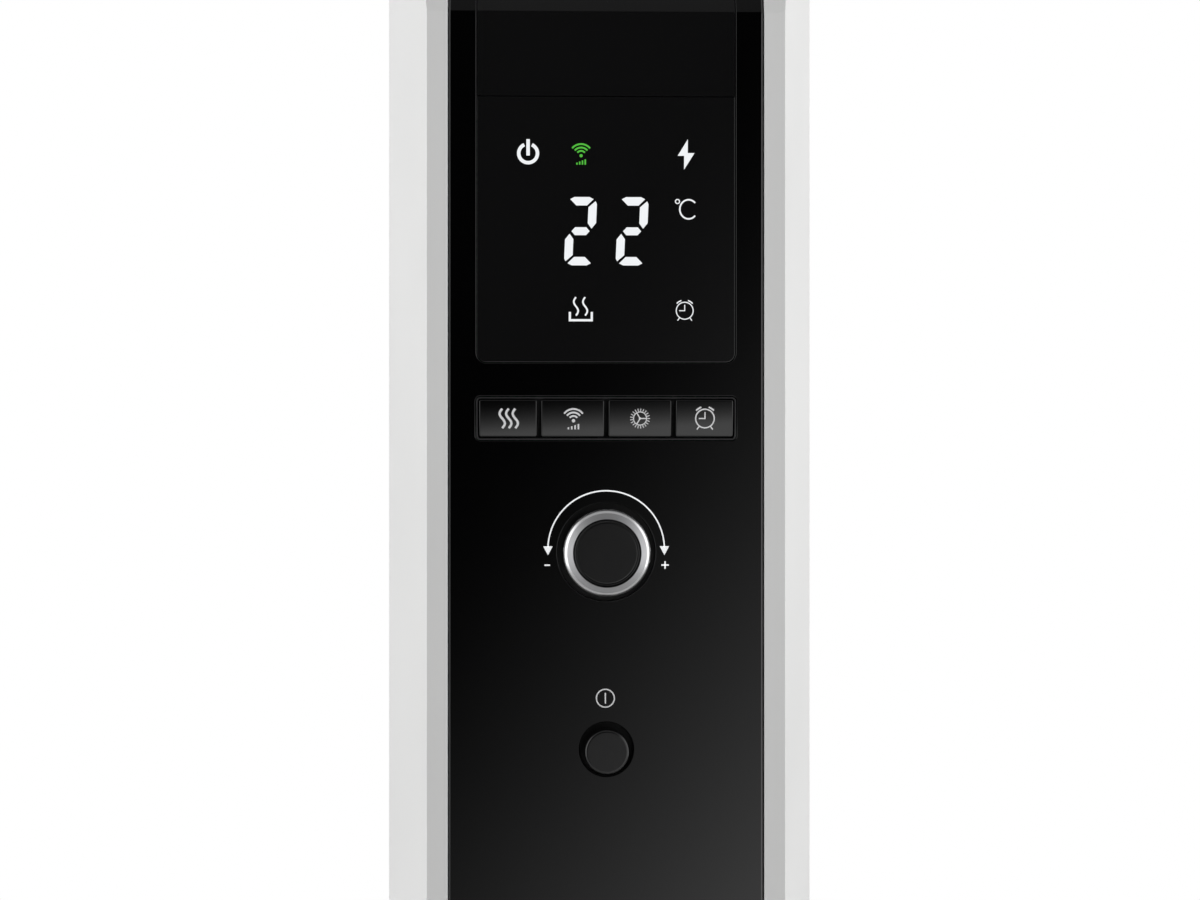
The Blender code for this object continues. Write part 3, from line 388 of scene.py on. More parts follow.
def make_pressing():
    """One fin, centred on the origin: both shells as height fields, joined round the rim, and its hubs."""
    rim = (0.0, 0.5, 2.5, 5.0, 7.0, 8.3, 9.7, 11.2, 13.0, 16.0)
    near_x, parts_x = fin_stations(fin_size.x / 2, rim, 3.1 * MM)
    near_z, parts_z = fin_stations(fin_size.z / 2, (*rim, 20.0, 25.0, 30.0), 11.0 * MM)
    half_z = fin_size.z / 2
    inner_z = half_z - near_z[-1]
    rows = [-half_z + inset for inset in near_z]
    rows += [part * inner_z for part in parts_z]
    rows += [half_z - inset for inset in reversed(near_z)]
    bm = bmesh.new()
    grids = []
    for side in (-1, 1):
        grid = []
        for z in rows:
            past = max(abs(z) - (half_z - FIN_CORNER), 0.0)
            half_x = fin_size.x / 2 - FIN_CORNER + (FIN_CORNER ** 2 - past ** 2) ** 0.5
            inner = half_x - near_x[-1]
            line = [-half_x + inset for inset in near_x]
            line += [part * inner for part in parts_x]
            line += [half_x - inset for inset in reversed(near_x)]
            grid.append([bm.verts.new((x, side * half_thickness(x, z), z)) for x in line])
        for low, high in zip(grid, grid[1:]):
            for index in range(len(low) - 1):
                bm.faces.new((low[index], low[index + 1], high[index + 1], high[index]))
        grids.append(grid)
    loops = [
        grid[0] + [row[-1] for row in grid[1:]] + grid[-1][-2::-1] + [row[0] for row in grid[-2:0:-1]]
        for grid in grids
    ]
    for index in range(len(loops[0])):
        after = (index + 1) % len(loops[0])
        bm.faces.new((loops[0][index], loops[0][after], loops[1][after], loops[1][index]))
    reach = fin_size.y / 2
    root = FIN_HALF - 0.0006
    flare = [
        (HUB_TIP + (HUB_ROOT - HUB_TIP) * (step / 6) ** 2.2,
         reach - HUB_STRAIGHT - (reach - HUB_STRAIGHT - root) * step / 6)
        for step in range(7)
    ]
    wall = [(HUB_TIP - 0.0006, reach), (HUB_TIP, reach - 0.0006)] + flare
    for level in (-1, 1):
        profile = [(GALLERY_BORE, -reach)] + [(radius, -along) for radius, along in wall]
        profile += wall[::-1] + [(GALLERY_BORE, reach)]
        lathe(bm, "Y", profile, (0.0, level * (half_z - FIN_HUB_INSET)), 40, closed=True)
    return add_piece("fin_pressing", bm, 50.0)


def make_spot():
    """One spot weld: a shallow round bump, lying on the valley floor on the +Y side."""
    bm = bmesh.new()
    lathe(bm, "Y", [
        (SPOT_RADIUS, -SPOT_RISE), (SPOT_RADIUS * 0.82, SPOT_RISE * 0.8),
        (SPOT_RADIUS * 0.4, SPOT_RISE * 0.35),
    ], (0.0, 0.0), 12)
    return add_piece("spot_weld", bm)


def start_tree(name, inputs):
    """Geometry Nodes tree with named inputs, and the nodes of its input and output."""
    tree = bpy.data.node_groups.new(name, "GeometryNodeTree")
    tree.interface.new_socket("Geometry", in_out="OUTPUT", socket_type="NodeSocketGeometry")
    for label, kind in inputs:
        tree.interface.new_socket(label, in_out="INPUT", socket_type=f"NodeSocket{kind}")
    return tree, tree.nodes.new("NodeGroupInput").outputs, tree.nodes.new("NodeGroupOutput")


def run_tree(name, tree, values, *helpers):
    """Evaluate a tree with its inputs set, and return the plain mesh that it makes."""
    holder = bpy.data.objects.new(name, bpy.data.meshes.new(name))
    bpy.context.scene.collection.objects.link(holder)
    step = holder.modifiers.new("build", "NODES")
    step.node_group = tree
    for item in tree.interface.items_tree:
        if item.in_out == "INPUT":
            step[item.identifier] = values[item.name]
    apply_modifiers(holder)
    for helper in helpers:
        bpy.data.objects.remove(helper)
    return holder


def shape_of(tree, holder):
    """Geometry of the object on an input."""
    return add_node(tree, "GeometryNodeObjectInfo", {"Object": holder}).outputs["Geometry"]


def moved(tree, shape, **change):
    """Geometry with a translation or a rotation."""
    inputs = {"Geometry": shape, **{name.title(): value for name, value in change.items()}}
    return add_node(tree, "GeometryNodeTransform", inputs).outputs[0]


def end_tree(tree, result, shape, look):
    """Make a tree's instances real, give them their material and send them out."""
    real = add_node(tree, "GeometryNodeRealizeInstances", {"Geometry": shape}).outputs[0]
    coated = add_node(tree, "GeometryNodeSetMaterial", {"Geometry": real, "Material": look})
    tree.links.new(coated.outputs[0], result.inputs[0])


def copies_along(tree, shape, count, offset, start=(0.0, 0.0, 0.0)):
    """Instances of a geometry on an evenly spaced line of points."""
    line = add_node(tree, "GeometryNodeMeshLine", {"Count": count, "Start Location": start, "Offset": offset})
    return add_node(
        tree, "GeometryNodeInstanceOnPoints", {"Points": line.outputs[0], "Instance": shape}
    ).outputs[0]


def spread(tree, x=0.0, y=0.0, z=0.0):
    """Vector built from values or sockets."""
    return add_node(tree, "ShaderNodeCombineXYZ", {"X": x, "Y": y, "Z": z}).outputs[0]


tree, given, result = start_tree("fin_row", (
    ("Pressing", "Object"), ("Spot", "Object"), ("Fins", "Int"), ("Pitch", "Float"), ("First", "Vector"),
    ("Spots", "Int"), ("Spot Pitch", "Float"), ("Spot Start", "Float"), ("Valley", "Float"),
    ("Floor", "Float"), ("Enamel", "Material"),
))
spot_step, spot_start = (spread(tree, z=given[name]) for name in ("Spot Pitch", "Spot Start"))
column = copies_along(tree, shape_of(tree, given["Spot"]), given["Spots"], spot_step, spot_start)
together = tree.nodes.new("GeometryNodeJoinGeometry")
tree.links.new(shape_of(tree, given["Pressing"]), together.inputs[0])
for turn in (0.0, pi):
    for side in (-1.0, 1.0):
        beside = maths(tree, "MULTIPLY", given["Valley"], side)
        placed = moved(tree, column, translation=spread(tree, beside, given["Floor"]))
        tree.links.new(moved(tree, placed, rotation=(0.0, 0.0, turn)), together.inputs[0])
row = copies_along(tree, together.outputs[0], given["Fins"], spread(tree, y=given["Pitch"]), given["First"])
end_tree(tree, result, row, given["Enamel"])

pressing_shape = make_pressing()
spot_shape = make_spot()
spot_pitch = 2 * (VALLEY_END - 0.008) / (SPOT_COUNT - 1)
fin_row = run_tree("fin_row", tree, {
    "Pressing": pressing_shape, "Spot": spot_shape, "Fins": FIN_COUNT, "Pitch": fin_pitch,
    "First": fin_middle, "Spots": SPOT_COUNT, "Spot Pitch": spot_pitch,
    "Spot Start": -spot_pitch * (SPOT_COUNT - 1) / 2, "Valley": VALLEY_X,
    "Floor": half_thickness(VALLEY_X, 0.0), "Enamel": fin_enamel,
}, pressing_shape, spot_shape)
hand_over(fin_row, None, "fin_enamel", *(f"fin_{number + 1}" for number in range(FIN_COUNT)))


# ------------------------------------------------------------------ plugs and element
# The rear hubs are closed by a pressed blank plug below and by the hexagonal oil filler plug above, both
# zinc plated. The element's hairpin, its brass flange and the front plug are hidden by the housing, so
# they keep their plain solids.

PLUG_RADIUS = 0.020
SPIGOT_RADIUS = 0.0137

zinc_plate = make_finish(
    "zinc_plate", ((0.50, 0.51, 0.52), (0.64, 0.64, 0.62)), (0.26, 0.42), 900.0, 55.0, 0.012, metallic=1.0
)
cast_brass = make_finish(
    "cast_brass", ((0.62, 0.44, 0.17), (0.75, 0.57, 0.27)), (0.26, 0.40), 1100.0, 60.0, 0.012, metallic=1.0
)


def node_middle(node):
    """Centre of a CAD node's box."""
    low, high = node_box(node)
    return (low + high) / 2


def fillet(corners, radii, steps=6):
    """Round a polygon's corners: each corner becomes an arc tangent to its two sides."""
    outline = []
    for index, (corner, radius) in enumerate(zip(corners, radii)):
        here = Vector(corner)
        if radius == 0:
            outline.append(tuple(here))
            continue
        to_last = (Vector(corners[index - 1]) - here).normalized()
        to_next = (Vector(corners[(index + 1) % len(corners)]) - here).normalized()
        half_angle = to_last.angle(to_next) / 2
        centre = here + (to_last + to_next).normalized() * radius / sin(half_angle)
        start = here + to_last * radius / tan(half_angle) - centre
        end = here + to_next * radius / tan(half_angle) - centre
        first = atan2(start.y, start.x)
        turn = (atan2(end.y, end.x) - first + pi) % (2 * pi) - pi
        for step in range(steps + 1):
            angle = first + turn * step / steps
            outline.append((centre.x + radius * cos(angle), centre.y + radius * sin(angle)))
    return outline


def rectangle(width, height, centre=(0.0, 0.0), radius=0.0, steps=6):
    """Rectangle outline, with rounded corners where a radius is given."""
    x, z = centre
    corners = [
        (x - width / 2, z - height / 2), (x + width / 2, z - height / 2),
        (x + width / 2, z + height / 2), (x - width / 2, z + height / 2),
    ]
    return fillet(corners, [radius] * 4, steps)


def prism(bm, axis, outline, low, high):
    """Outline extruded along an axis."""
    skin(bm, [[bm.verts.new(on_axis(axis, point, along)) for point in outline] for along in (low, high)])


def solid(name, axis, outline, low, high):
    """Piece that is one extruded outline."""
    bm = bmesh.new()
    prism(bm, axis, outline, low, high)
    return add_piece(name, bm)


def carve(target, *tools, operation="DIFFERENCE"):
    """Take each tool away from a piece, or join or intersect it."""
    for tool in tools:
        step = target.modifiers.new("carve", "BOOLEAN")
        step.operation = operation
        step.solver = "EXACT"
        step.object = tool
        apply_modifiers(target)
        bpy.data.objects.remove(tool)
    return target


def soften(piece, width, segments=3, angle=30.0, pick=None):
    """Round a piece's sharp edges, or the picked ones, and keep its flat faces true in the light."""
    mesh = piece.data
    bevel = piece.modifiers.new("edges", "BEVEL")
    bevel.width = width
    bevel.segments = segments
    bevel.miter_outer = "MITER_ARC"
    bevel.limit_method = "ANGLE"
    bevel.angle_limit = radians(angle)
    if pick:
        bevel.limit_method = "WEIGHT"
        weights = mesh.attributes.new("bevel_weight_edge", "FLOAT", "EDGE")
        for edge in mesh.edges:
            ends = [mesh.vertices[number].co for number in edge.vertices]
            weights.data[edge.index].value = float(pick(*ends))
    apply_modifiers(piece)
    left_over = piece.data.attributes.get("bevel_weight_edge")
    if left_over:
        piece.data.attributes.remove(left_over)
    piece.data.shade_smooth()
    piece.data.set_sharp_from_angle(angle=radians(max(angle, 30.0) + 10.0))
    even = piece.modifiers.new("even", "WEIGHTED_NORMAL")
    even.keep_sharp = True
    even.weight = 90
    return apply_modifiers(piece)


lower_low, lower_high = node_box("lower_end_plug")
plug_face = lower_high.y
plug_seat = plug_face - 0.006
plug_at = node_middle("lower_end_plug")
bm = bmesh.new()
lathe(bm, "Y", [
    (SPIGOT_RADIUS, lower_low.y), (SPIGOT_RADIUS, plug_seat), (PLUG_RADIUS - 0.0005, plug_seat),
    (PLUG_RADIUS, plug_seat + 0.0005), (PLUG_RADIUS, plug_face - 0.0022),
    (PLUG_RADIUS - 0.0007, plug_face - 0.0006), (PLUG_RADIUS - 0.0022, plug_face),
    (PLUG_RADIUS - 0.0046, plug_face), (PLUG_RADIUS - 0.0058, plug_face - 0.0007),
    (PLUG_RADIUS - 0.0066, plug_face - 0.0022), (0.0012, plug_face - 0.0024),
], (plug_at.x, plug_at.z), 56)
hand_over(add_piece("lower_end_plug_pressed", bm, 40.0), zinc_plate, "zinc_steel", "lower_end_plug")

filler_low, filler_high = node_box("oil_filler_plug")
filler_at = node_middle("oil_filler_plug")
face = filler_high.y
bm = bmesh.new()
lathe(bm, "Y", [
    (SPIGOT_RADIUS, filler_low.y), (SPIGOT_RADIUS, face - 0.006), (PLUG_RADIUS - 0.0004, face - 0.006),
    (PLUG_RADIUS, face - 0.0056), (PLUG_RADIUS, face - 0.0034), (PLUG_RADIUS - 0.0005, face - 0.003),
    (0.0012, face - 0.003),
], (filler_at.x, filler_at.z), 56)
filler = add_piece("oil_filler_plug_turned", bm, 40.0)
hexagon = circle(PLUG_RADIUS * 0.6, (filler_at.x, filler_at.z), 6)
head = solid("head", "Y", hexagon, face - 0.0032, face)
bm = bmesh.new()
lathe(bm, "Y", [(PLUG_RADIUS, face - 0.006), (PLUG_RADIUS * 0.66, face - 0.0006), (PLUG_RADIUS * 0.5, face)],
      (filler_at.x, filler_at.z))
carve(head, add_piece("chamfer", bm), operation="INTERSECT")
carve(filler, head, operation="UNION")
hand_over(soften(filler, 0.00022, 2), zinc_plate, "zinc_steel", "oil_filler_plug")

for name, look in (
    ("upper_front_plug", zinc_plate), ("heating_element", zinc_plate), ("element_flange", cast_brass)
):
    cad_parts[name].data.materials[0] = look


# ------------------------------------------------------------------ foot bars
# Two channels pressed from 1.5 mm steel and enamelled white. The middle of each is cranked up to carry
# the fins; a zinc plated U-bolt with wing nuts clamps it to the lower galleries.

BAR_SHEET = 0.0015
BAR_DROP = 0.012          # from the raised middle down to the ends
BAR_BEND = 0.010
BAR_MIDDLE_HALF = 0.058
BAR_END_HALF = 0.084
BAR_END_ROUND = 0.010
BOLT_ROD = 0.003
BOLT_LEG_X = 0.0236
STEM_HOLE = 0.0052
STEM_X = 0.105
THREAD_PITCH = 0.0010
THREAD_LENGTH = 0.014
NUT_RADIUS = 0.0065
NUT_HEIGHT = 0.005
WING_REACH = 0.011

foot_enamel = make_finish(
    "foot_enamel", ((0.74, 0.74, 0.733), (0.78, 0.78, 0.772)), (0.22, 0.30), 480.0, bump=0.010, coat=0.20
)
gallery_z = node_middle("lower_end_plug").z


def bar_line(top, shift):
    """Cranked height line of a foot bar from end to end, moved up by a shift."""
    high = top + shift
    half = [(STEM_X + 0.015, high - BAR_DROP), (BAR_END_HALF, high - BAR_DROP), (BAR_MIDDLE_HALF, high)]
    return [(-x, z) for x, z in half] + half[::-1]


def bar_outline(upper, lower):
    """Closed side view between two height lines, with the bends rounded."""
    return fillet(upper + lower[::-1], [0, BAR_BEND, BAR_BEND, BAR_BEND, BAR_BEND, 0] * 2, 5)


def rod(bm, path, radii, normal, sides=14):
    """Round rod along a planar path, with a radius at each point."""
    rings = []
    for index, point in enumerate(path):
        ahead = path[min(index + 1, len(path) - 1)]
        behind = path[max(index - 1, 0)]
        side = (ahead - behind).normalized().cross(normal)
        rings.append([
            bm.verts.new(point + (side * cos(step) + normal * sin(step)) * radii[index])
            for step in (2 * pi * number / sides for number in range(sides))
        ])
    skin(bm, rings)


def foot_plan(y, width, inset):
    """Plan of a foot bar with rounded ends, as an upright block."""
    size = (2 * (STEM_X + 0.015 - inset), width - 2 * inset)
    return solid("plan", "Z", rectangle(*size, (0.0, y), BAR_END_ROUND - inset, 8), 0.0, gallery_z)


for end in ("front", "rear"):
    low, high = node_box(f"{end}_foot_bar")
    y = (low.y + high.y) / 2
    width = high.y - low.y
    skirt = BAR_DROP - (high.z - low.z)
    bar = solid("bar", "Y", bar_outline(bar_line(high.z, 0.0), bar_line(high.z, skirt)), low.y, high.y)
    carve(bar, foot_plan(y, width, 0.0), operation="INTERSECT")
    bar.name = f"{end}_foot_channel"
    soften(bar, 0.0011, 3)
    hollow = bar_outline(bar_line(high.z, -BAR_SHEET), bar_line(high.z, skirt - 2 * BAR_DROP))
    inside = solid("inside", "Y", hollow, low.y, high.y)
    carve(inside, foot_plan(y, width, BAR_SHEET), operation="INTERSECT")
    carve(bar, inside)
    for side in (-1, 1):
        for x, radius in ((BOLT_LEG_X, BOLT_ROD + 0.0003), (STEM_X, STEM_HOLE)):
            carve(bar, solid("hole", "Z", circle(radius, (side * x, y), 32), 0.0, gallery_z))
    soften(bar, 0.00025, 2, 50.0)
    hand_over(bar, foot_enamel, "foot_enamel", f"{end}_foot_bar")

    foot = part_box(f"{end}_u_bolt")[0][2]
    heights = [foot + THREAD_PITCH / 2 * step for step in range(round(2 * THREAD_LENGTH / THREAD_PITCH))]
    path = [Vector((-BOLT_LEG_X, y, z)) for z in heights]
    radii = [BOLT_ROD - 0.0003 * (step % 2) for step in range(len(heights))]
    radii[0] = BOLT_ROD * 0.8
    for step in range(25):
        angle = pi - pi * step / 24
        path.append(Vector((BOLT_LEG_X * cos(angle), y, gallery_z + BOLT_LEG_X * sin(angle))))
    path += [Vector((BOLT_LEG_X, y, z)) for z in reversed(heights)]
    bm = bmesh.new()
    rod(bm, path, radii + [BOLT_ROD] * 25 + radii[::-1], Vector((0.0, 1.0, 0.0)))
    hand_over(add_piece(f"{end}_u_bolt_rod", bm), zinc_plate, "zinc_steel", f"{end}_u_bolt")


def make_wing_nut():
    """Wing nut centred on the origin, its top face at zero height."""
    nut = solid("nut", "Z", circle(NUT_RADIUS, sides=40), -NUT_HEIGHT, 0.0)
    for side in (-1, 1):
        wing = solid("wing", "Y", fillet(
            [(side * 0.004, -NUT_HEIGHT), (side * WING_REACH * 0.86, -NUT_HEIGHT),
             (side * WING_REACH, -NUT_HEIGHT * 0.45), (side * 0.004, -NUT_HEIGHT * 0.3)],
            [0, 0.0014, 0.0014, 0], 4,
        ), -0.0009, 0.0009)
        carve(nut, wing, operation="UNION")
    carve(nut, solid("bore", "Z", circle(BOLT_ROD + 0.0003, sides=24), -1.0, 1.0))
    return soften(nut, 0.0003, 2)


tree, given, result = start_tree("wing_nut_set", (
    ("Nut", "Object"), ("Half Spacing", "Vector"), ("Middle", "Vector"), ("Plating", "Material"),
))
reach = add_node(tree, "ShaderNodeSeparateXYZ", {0: given["Half Spacing"]}).outputs
corners = add_node(tree, "GeometryNodeMeshGrid", {
    "Size X": maths(tree, "MULTIPLY", reach["X"], 2.0), "Size Y": maths(tree, "MULTIPLY", reach["Y"], 2.0),
    "Vertices X": 2, "Vertices Y": 2,
}).outputs[0]
nuts = add_node(
    tree, "GeometryNodeInstanceOnPoints", {"Points": corners, "Instance": shape_of(tree, given["Nut"])}
).outputs[0]
end_tree(tree, result, moved(tree, nuts, translation=given["Middle"]), given["Plating"])

front_nut, rear_nut = node_middle("front_left_wing_nut"), node_middle("rear_left_wing_nut")
nut_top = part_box("front_left_wing_nut")[1][2]
nut_shape = make_wing_nut()
wing_nuts = run_tree("wing_nuts", tree, {
    "Nut": nut_shape, "Half Spacing": (BOLT_LEG_X, (rear_nut.y - front_nut.y) / 2, 0.0),
    "Middle": (0.0, (rear_nut.y + front_nut.y) / 2, nut_top), "Plating": zinc_plate,
}, nut_shape)
hand_over(wing_nuts, None, "zinc_steel", *(
    f"{end}_{side}_wing_nut" for end in ("front", "rear") for side in ("left", "right")
))


# ------------------------------------------------------------------ castors
# Four swivel castors: a black nylon fork whose steel stem turns in the foot bar, and a wheel with a
# soft grey tread and six ribs, running on a steel axle between the fork's cheeks.

WHEEL_RADIUS = 0.020
WHEEL_HALF = 0.008
WHEEL_HUB = 0.0062
WHEEL_RIM = 0.0150        # inside of the rim
WHEEL_DISH = 0.0045       # depth of the dished side
WHEEL_RIBS = 6
AXLE_RADIUS = 0.003
CASTOR_TRAIL = 0.012
CHEEK_THICK = 0.0025
CHEEK_GAP = 0.0005
PLATE_RADIUS = 0.0135
PLATE_LOW = 0.043
PLATE_THICK = 0.0025
COLLAR_RADIUS = 0.008
STEM_RADIUS = 0.0048

castor_nylon = make_finish(
    "castor_nylon", ((0.013, 0.013, 0.014), (0.020, 0.020, 0.021)), (0.40, 0.58), 2600.0, 30.0, 0.03
)
tread_rubber = make_finish(
    "tread_rubber", ((0.030, 0.030, 0.031), (0.046, 0.046, 0.046)), (0.55, 0.80), 2100.0, 40.0, 0.05
)


def make_wheel_shape():
    """Wheel on the X axis, centred on the origin: tread, rim, dished sides and ribs."""
    bm = bmesh.new()
    shoulder = 0.0016
    outer = [
        (WHEEL_RADIUS - shoulder, WHEEL_HALF),
        (WHEEL_RADIUS - shoulder * 0.3, WHEEL_HALF - shoulder * 0.3),
        (WHEEL_RADIUS, WHEEL_HALF - shoulder), (WHEEL_RADIUS, 0.0012), (WHEEL_RADIUS - 0.0006, 0.0006),
    ]
    side = [
        (AXLE_RADIUS + 0.0001, WHEEL_HALF), (WHEEL_HUB - 0.0006, WHEEL_HALF),
        (WHEEL_HUB, WHEEL_HALF - 0.0006),
        (WHEEL_HUB + 0.0006, WHEEL_HALF - WHEEL_DISH), (WHEEL_RIM - 0.0006, WHEEL_HALF - WHEEL_DISH),
        (WHEEL_RIM, WHEEL_HALF - 0.0006), (WHEEL_RIM + 0.0006, WHEEL_HALF),
    ]
    half = side + outer
    profile = [(radius, -along) for radius, along in half] + half[::-1]
    lathe(bm, "X", profile, (0.0, 0.0), 72, closed=True)
    return add_piece("wheel_shape", bm, 35.0)


def make_rib_shape():
    """One rib of a wheel, from hub to rim, through both dished sides."""
    reach = WHEEL_HALF - 0.0009
    middle = (WHEEL_HUB + WHEEL_RIM) / 2
    size = WHEEL_RIM - WHEEL_HUB + 0.0006
    rib = solid("rib_shape", "X", rectangle(0.0018, size, (0.0, middle)), -reach, reach)
    return soften(rib, 0.0003, 2)


tree, given, result = start_tree("castor_wheel", (
    ("Wheel", "Object"), ("Rib", "Object"), ("Ribs", "Int"), ("Centre", "Vector"), ("Rubber", "Material"),
))
pile = add_node(tree, "GeometryNodeMeshLine", {"Count": given["Ribs"], "Offset": (0.0, 0.0, 0.0)})
number = add_node(tree, "GeometryNodeInputIndex").outputs[0]
turn = maths(tree, "MULTIPLY", number, maths(tree, "DIVIDE", 2 * pi, given["Ribs"]))
ribs = add_node(tree, "GeometryNodeInstanceOnPoints", {
    "Points": pile.outputs[0], "Instance": shape_of(tree, given["Rib"]), "Rotation": spread(tree, x=turn),
}).outputs[0]
together = tree.nodes.new("GeometryNodeJoinGeometry")
tree.links.new(shape_of(tree, given["Wheel"]), together.inputs[0])
tree.links.new(ribs, together.inputs[0])
placed = moved(tree, together.outputs[0], translation=given["Centre"])
end_tree(tree, result, placed, given["Rubber"])

wheel_shape, rib_shape = make_wheel_shape(), make_rib_shape()


def cheek_outline(y):
    """One cheek of a fork, seen from its side: from the plate down round the axle."""
    top = PLATE_LOW + PLATE_THICK / 2
    eye = 2 * AXLE_RADIUS
    outline = [(y + PLATE_RADIUS * 0.9, top), (y - PLATE_RADIUS * 0.7, top)]
    for step in range(15):
        angle = radians(200 + 160 * step / 14)
        outline.append((y + CASTOR_TRAIL + eye * cos(angle), WHEEL_RADIUS + eye * sin(angle)))
    return outline


for end in ("front", "rear"):
    for side_name, side in (("left", -1), ("right", 1)):
        place = f"{end}_{side_name}"
        hub = node_middle(f"castor_axle_{place}")
        x, y = side * STEM_X, hub.y - CASTOR_TRAIL
        plate_top = PLATE_LOW + PLATE_THICK
        stem_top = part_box(f"castor_fork_{place}")[1][2]
        collar_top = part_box(f"{end}_foot_bar")[1][2] - BAR_DROP - BAR_SHEET - 0.0003
        bm = bmesh.new()
        lathe(bm, "Z", [
            (PLATE_RADIUS - 0.0006, PLATE_LOW), (PLATE_RADIUS, PLATE_LOW + 0.0006),
            (PLATE_RADIUS, plate_top - 0.0008), (PLATE_RADIUS - 0.0008, plate_top),
            (COLLAR_RADIUS + 0.001, plate_top), (COLLAR_RADIUS, plate_top + 0.001),
            (COLLAR_RADIUS, collar_top - 0.0005),
            (COLLAR_RADIUS - 0.0005, collar_top), (STEM_RADIUS, collar_top), (STEM_RADIUS, stem_top - 0.001),
            (STEM_RADIUS - 0.001, stem_top),
        ], (x, y), 48)
        fork = add_piece(f"castor_fork_{place}_moulded", bm, 40.0)
        inner = WHEEL_HALF + CHEEK_GAP
        for cheek in (-1, 1):
            faces = sorted((x + cheek * inner, x + cheek * (inner + CHEEK_THICK)))
            carve(fork, solid("cheek", "X", cheek_outline(y), *faces), operation="UNION")
        bore = circle(AXLE_RADIUS + 0.0001, (hub.y, hub.z), 32)
        carve(fork, solid("bore", "X", bore, x - STEM_X, x + STEM_X))
        hand_over(soften(fork, 0.0005, 3, 45.0), castor_nylon, "castor_black",
                  f"castor_fork_{place}", body=f"castor_{place}")

        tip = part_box(f"castor_axle_{place}")[1][0] - x
        bm = bmesh.new()
        dome = [(AXLE_RADIUS - 0.0012, tip), (AXLE_RADIUS - 0.0004, tip - 0.0003), (AXLE_RADIUS, tip - 0.001)]
        lathe(bm, "X", [(radius, x + along) for radius, along in dome]
              + [(radius, x - along) for radius, along in dome[::-1]], (hub.y, hub.z), 32)
        hand_over(add_piece(f"castor_axle_{place}_pin", bm), zinc_plate, "zinc_steel",
                  f"castor_axle_{place}", body=f"castor_{place}")

        tyre = run_tree(f"castor_wheel_{place}_tread", tree, {
            "Wheel": wheel_shape, "Rib": rib_shape, "Ribs": WHEEL_RIBS, "Centre": hub, "Rubber": tread_rubber,
        })
        hand_over(tyre, None, "wheel_rubber", f"castor_wheel_{place}", body=f"wheel_{place}")

bpy.data.objects.remove(wheel_shape)
bpy.data.objects.remove(rib_shape)


# ------------------------------------------------------------------ housing
# The control housing is moulded in white ABS with a fine satin grain: a narrow flat front, sides that
# flare to full width, and a top end that leans back. A galvanised steel plate closes its back, held by
# a cross head screw on each side.

SHELL_FRONT_WIDTH = 0.1292
SHELL_FLARE_DEPTH = 0.076
SHELL_FLARE_ROUND = 0.120
SHELL_WALL = 0.0025
SHELL_EDGE = 0.0024       # rounding of the outer edges
CREASE_DROP = 0.040
TOP_LEAN = radians(20)
TOP_ROUND = 0.009
SLOT_GAP = 0.0003
SLOT_EDGE = 0.0004
SCREW_HEAD = 0.0036
SCREW_SHANK = 0.0015
SCREW_CROSS = (0.0042, 0.0009)

housing_white = make_finish(
    "housing_white", ((0.745, 0.745, 0.74), (0.765, 0.765, 0.76)), (0.36, 0.46), 3200.0, 14.0, 0.010
)
galvanised = make_finish(
    "galvanised_plate", ((0.44, 0.45, 0.46), (0.62, 0.63, 0.64)), (0.34, 0.52), 320.0, 70.0, 0.006,
    metallic=1.0,
)

shell_top = shell_high.z
shell_bottom = shell_low.z
back_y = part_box("housing_back_plate")[1][1]
crease_z = shell_top - CREASE_DROP


def lean_points(inset):
    """Depth and height of the crease and of the top corner of the front, moved in by an inset."""
    crease = (inset, crease_z - inset * tan(TOP_LEAN / 2))
    run = (shell_top - inset - crease_z + inset * sin(TOP_LEAN)) / cos(TOP_LEAN)
    return crease, (inset * cos(TOP_LEAN) + run * sin(TOP_LEAN), shell_top - inset)


def shell_block(inset, back):
    """Solid with the housing's outer shape, moved in by an inset, before its edges are rounded."""
    front_half = SHELL_FRONT_WIDTH / 2 - inset
    back_half = shell_high.x - inset
    flare = front_y + SHELL_FLARE_DEPTH
    plan = fillet([
        (-front_half, front_y + inset), (front_half, front_y + inset), (back_half, flare),
        (back_half, back), (-back_half, back), (-back_half, flare),
    ], [0, 0, SHELL_FLARE_ROUND, 0, 0, SHELL_FLARE_ROUND], 12)
    crease, corner = lean_points(inset)
    side = fillet([
        (front_y + inset, shell_bottom + inset), (back, shell_bottom + inset), (back, shell_top - inset),
        (front_y + corner[0], corner[1]), (front_y + crease[0], crease[1]),
    ], [0, 0, 0, TOP_ROUND - inset, 0], 10)
    block = solid("block", "Z", plan, shell_bottom + inset, shell_top - inset)
    return carve(block, solid("side", "X", side, -1.0, 1.0), operation="INTERSECT")


def outer_edge(one, other):
    """Whether an edge of the block is to be rounded: all but those of the back and of the top fillet."""
    on_back = max(one.y, other.y) > back_y - MM
    across_fillet = abs(one.x - other.x) > 0.05 and min(one.z, other.z) > shell_top - 2 * TOP_ROUND
    flare_line = abs(one.z - other.z) > 0.3 and min(one.y, other.y) > front_y + 5 * MM
    return not (on_back or across_fillet or flare_line)


slot_half = fascia_high.x + SLOT_GAP
slot_low = fascia_low.z - SLOT_GAP
slot_back = fascia_high.y + SLOT_GAP
shell = shell_block(0.0, back_y)
shell.name = "housing_moulding"
soften(shell, SHELL_EDGE, 5, pick=outer_edge)
carve(shell, shell_block(SHELL_WALL, back_y + SHELL_WALL))
slot = rectangle(2 * slot_half, 2 * (shell_top - slot_low), (0.0, shell_top))
carve(shell, solid("slot", "Y", slot, front_y - SHELL_WALL, slot_back))


def slot_edge(one, other):
    """Whether both ends of an edge lie on one wall of the slot, or on the open back."""
    return any(
        all(abs(value - wall) < 2e-6 for value in pair)
        for pair, wall in (
            ((abs(one.x), abs(other.x)), slot_half), ((one.z, other.z), slot_low),
            ((one.y, other.y), slot_back), ((one.y, other.y), back_y),
        )
    )


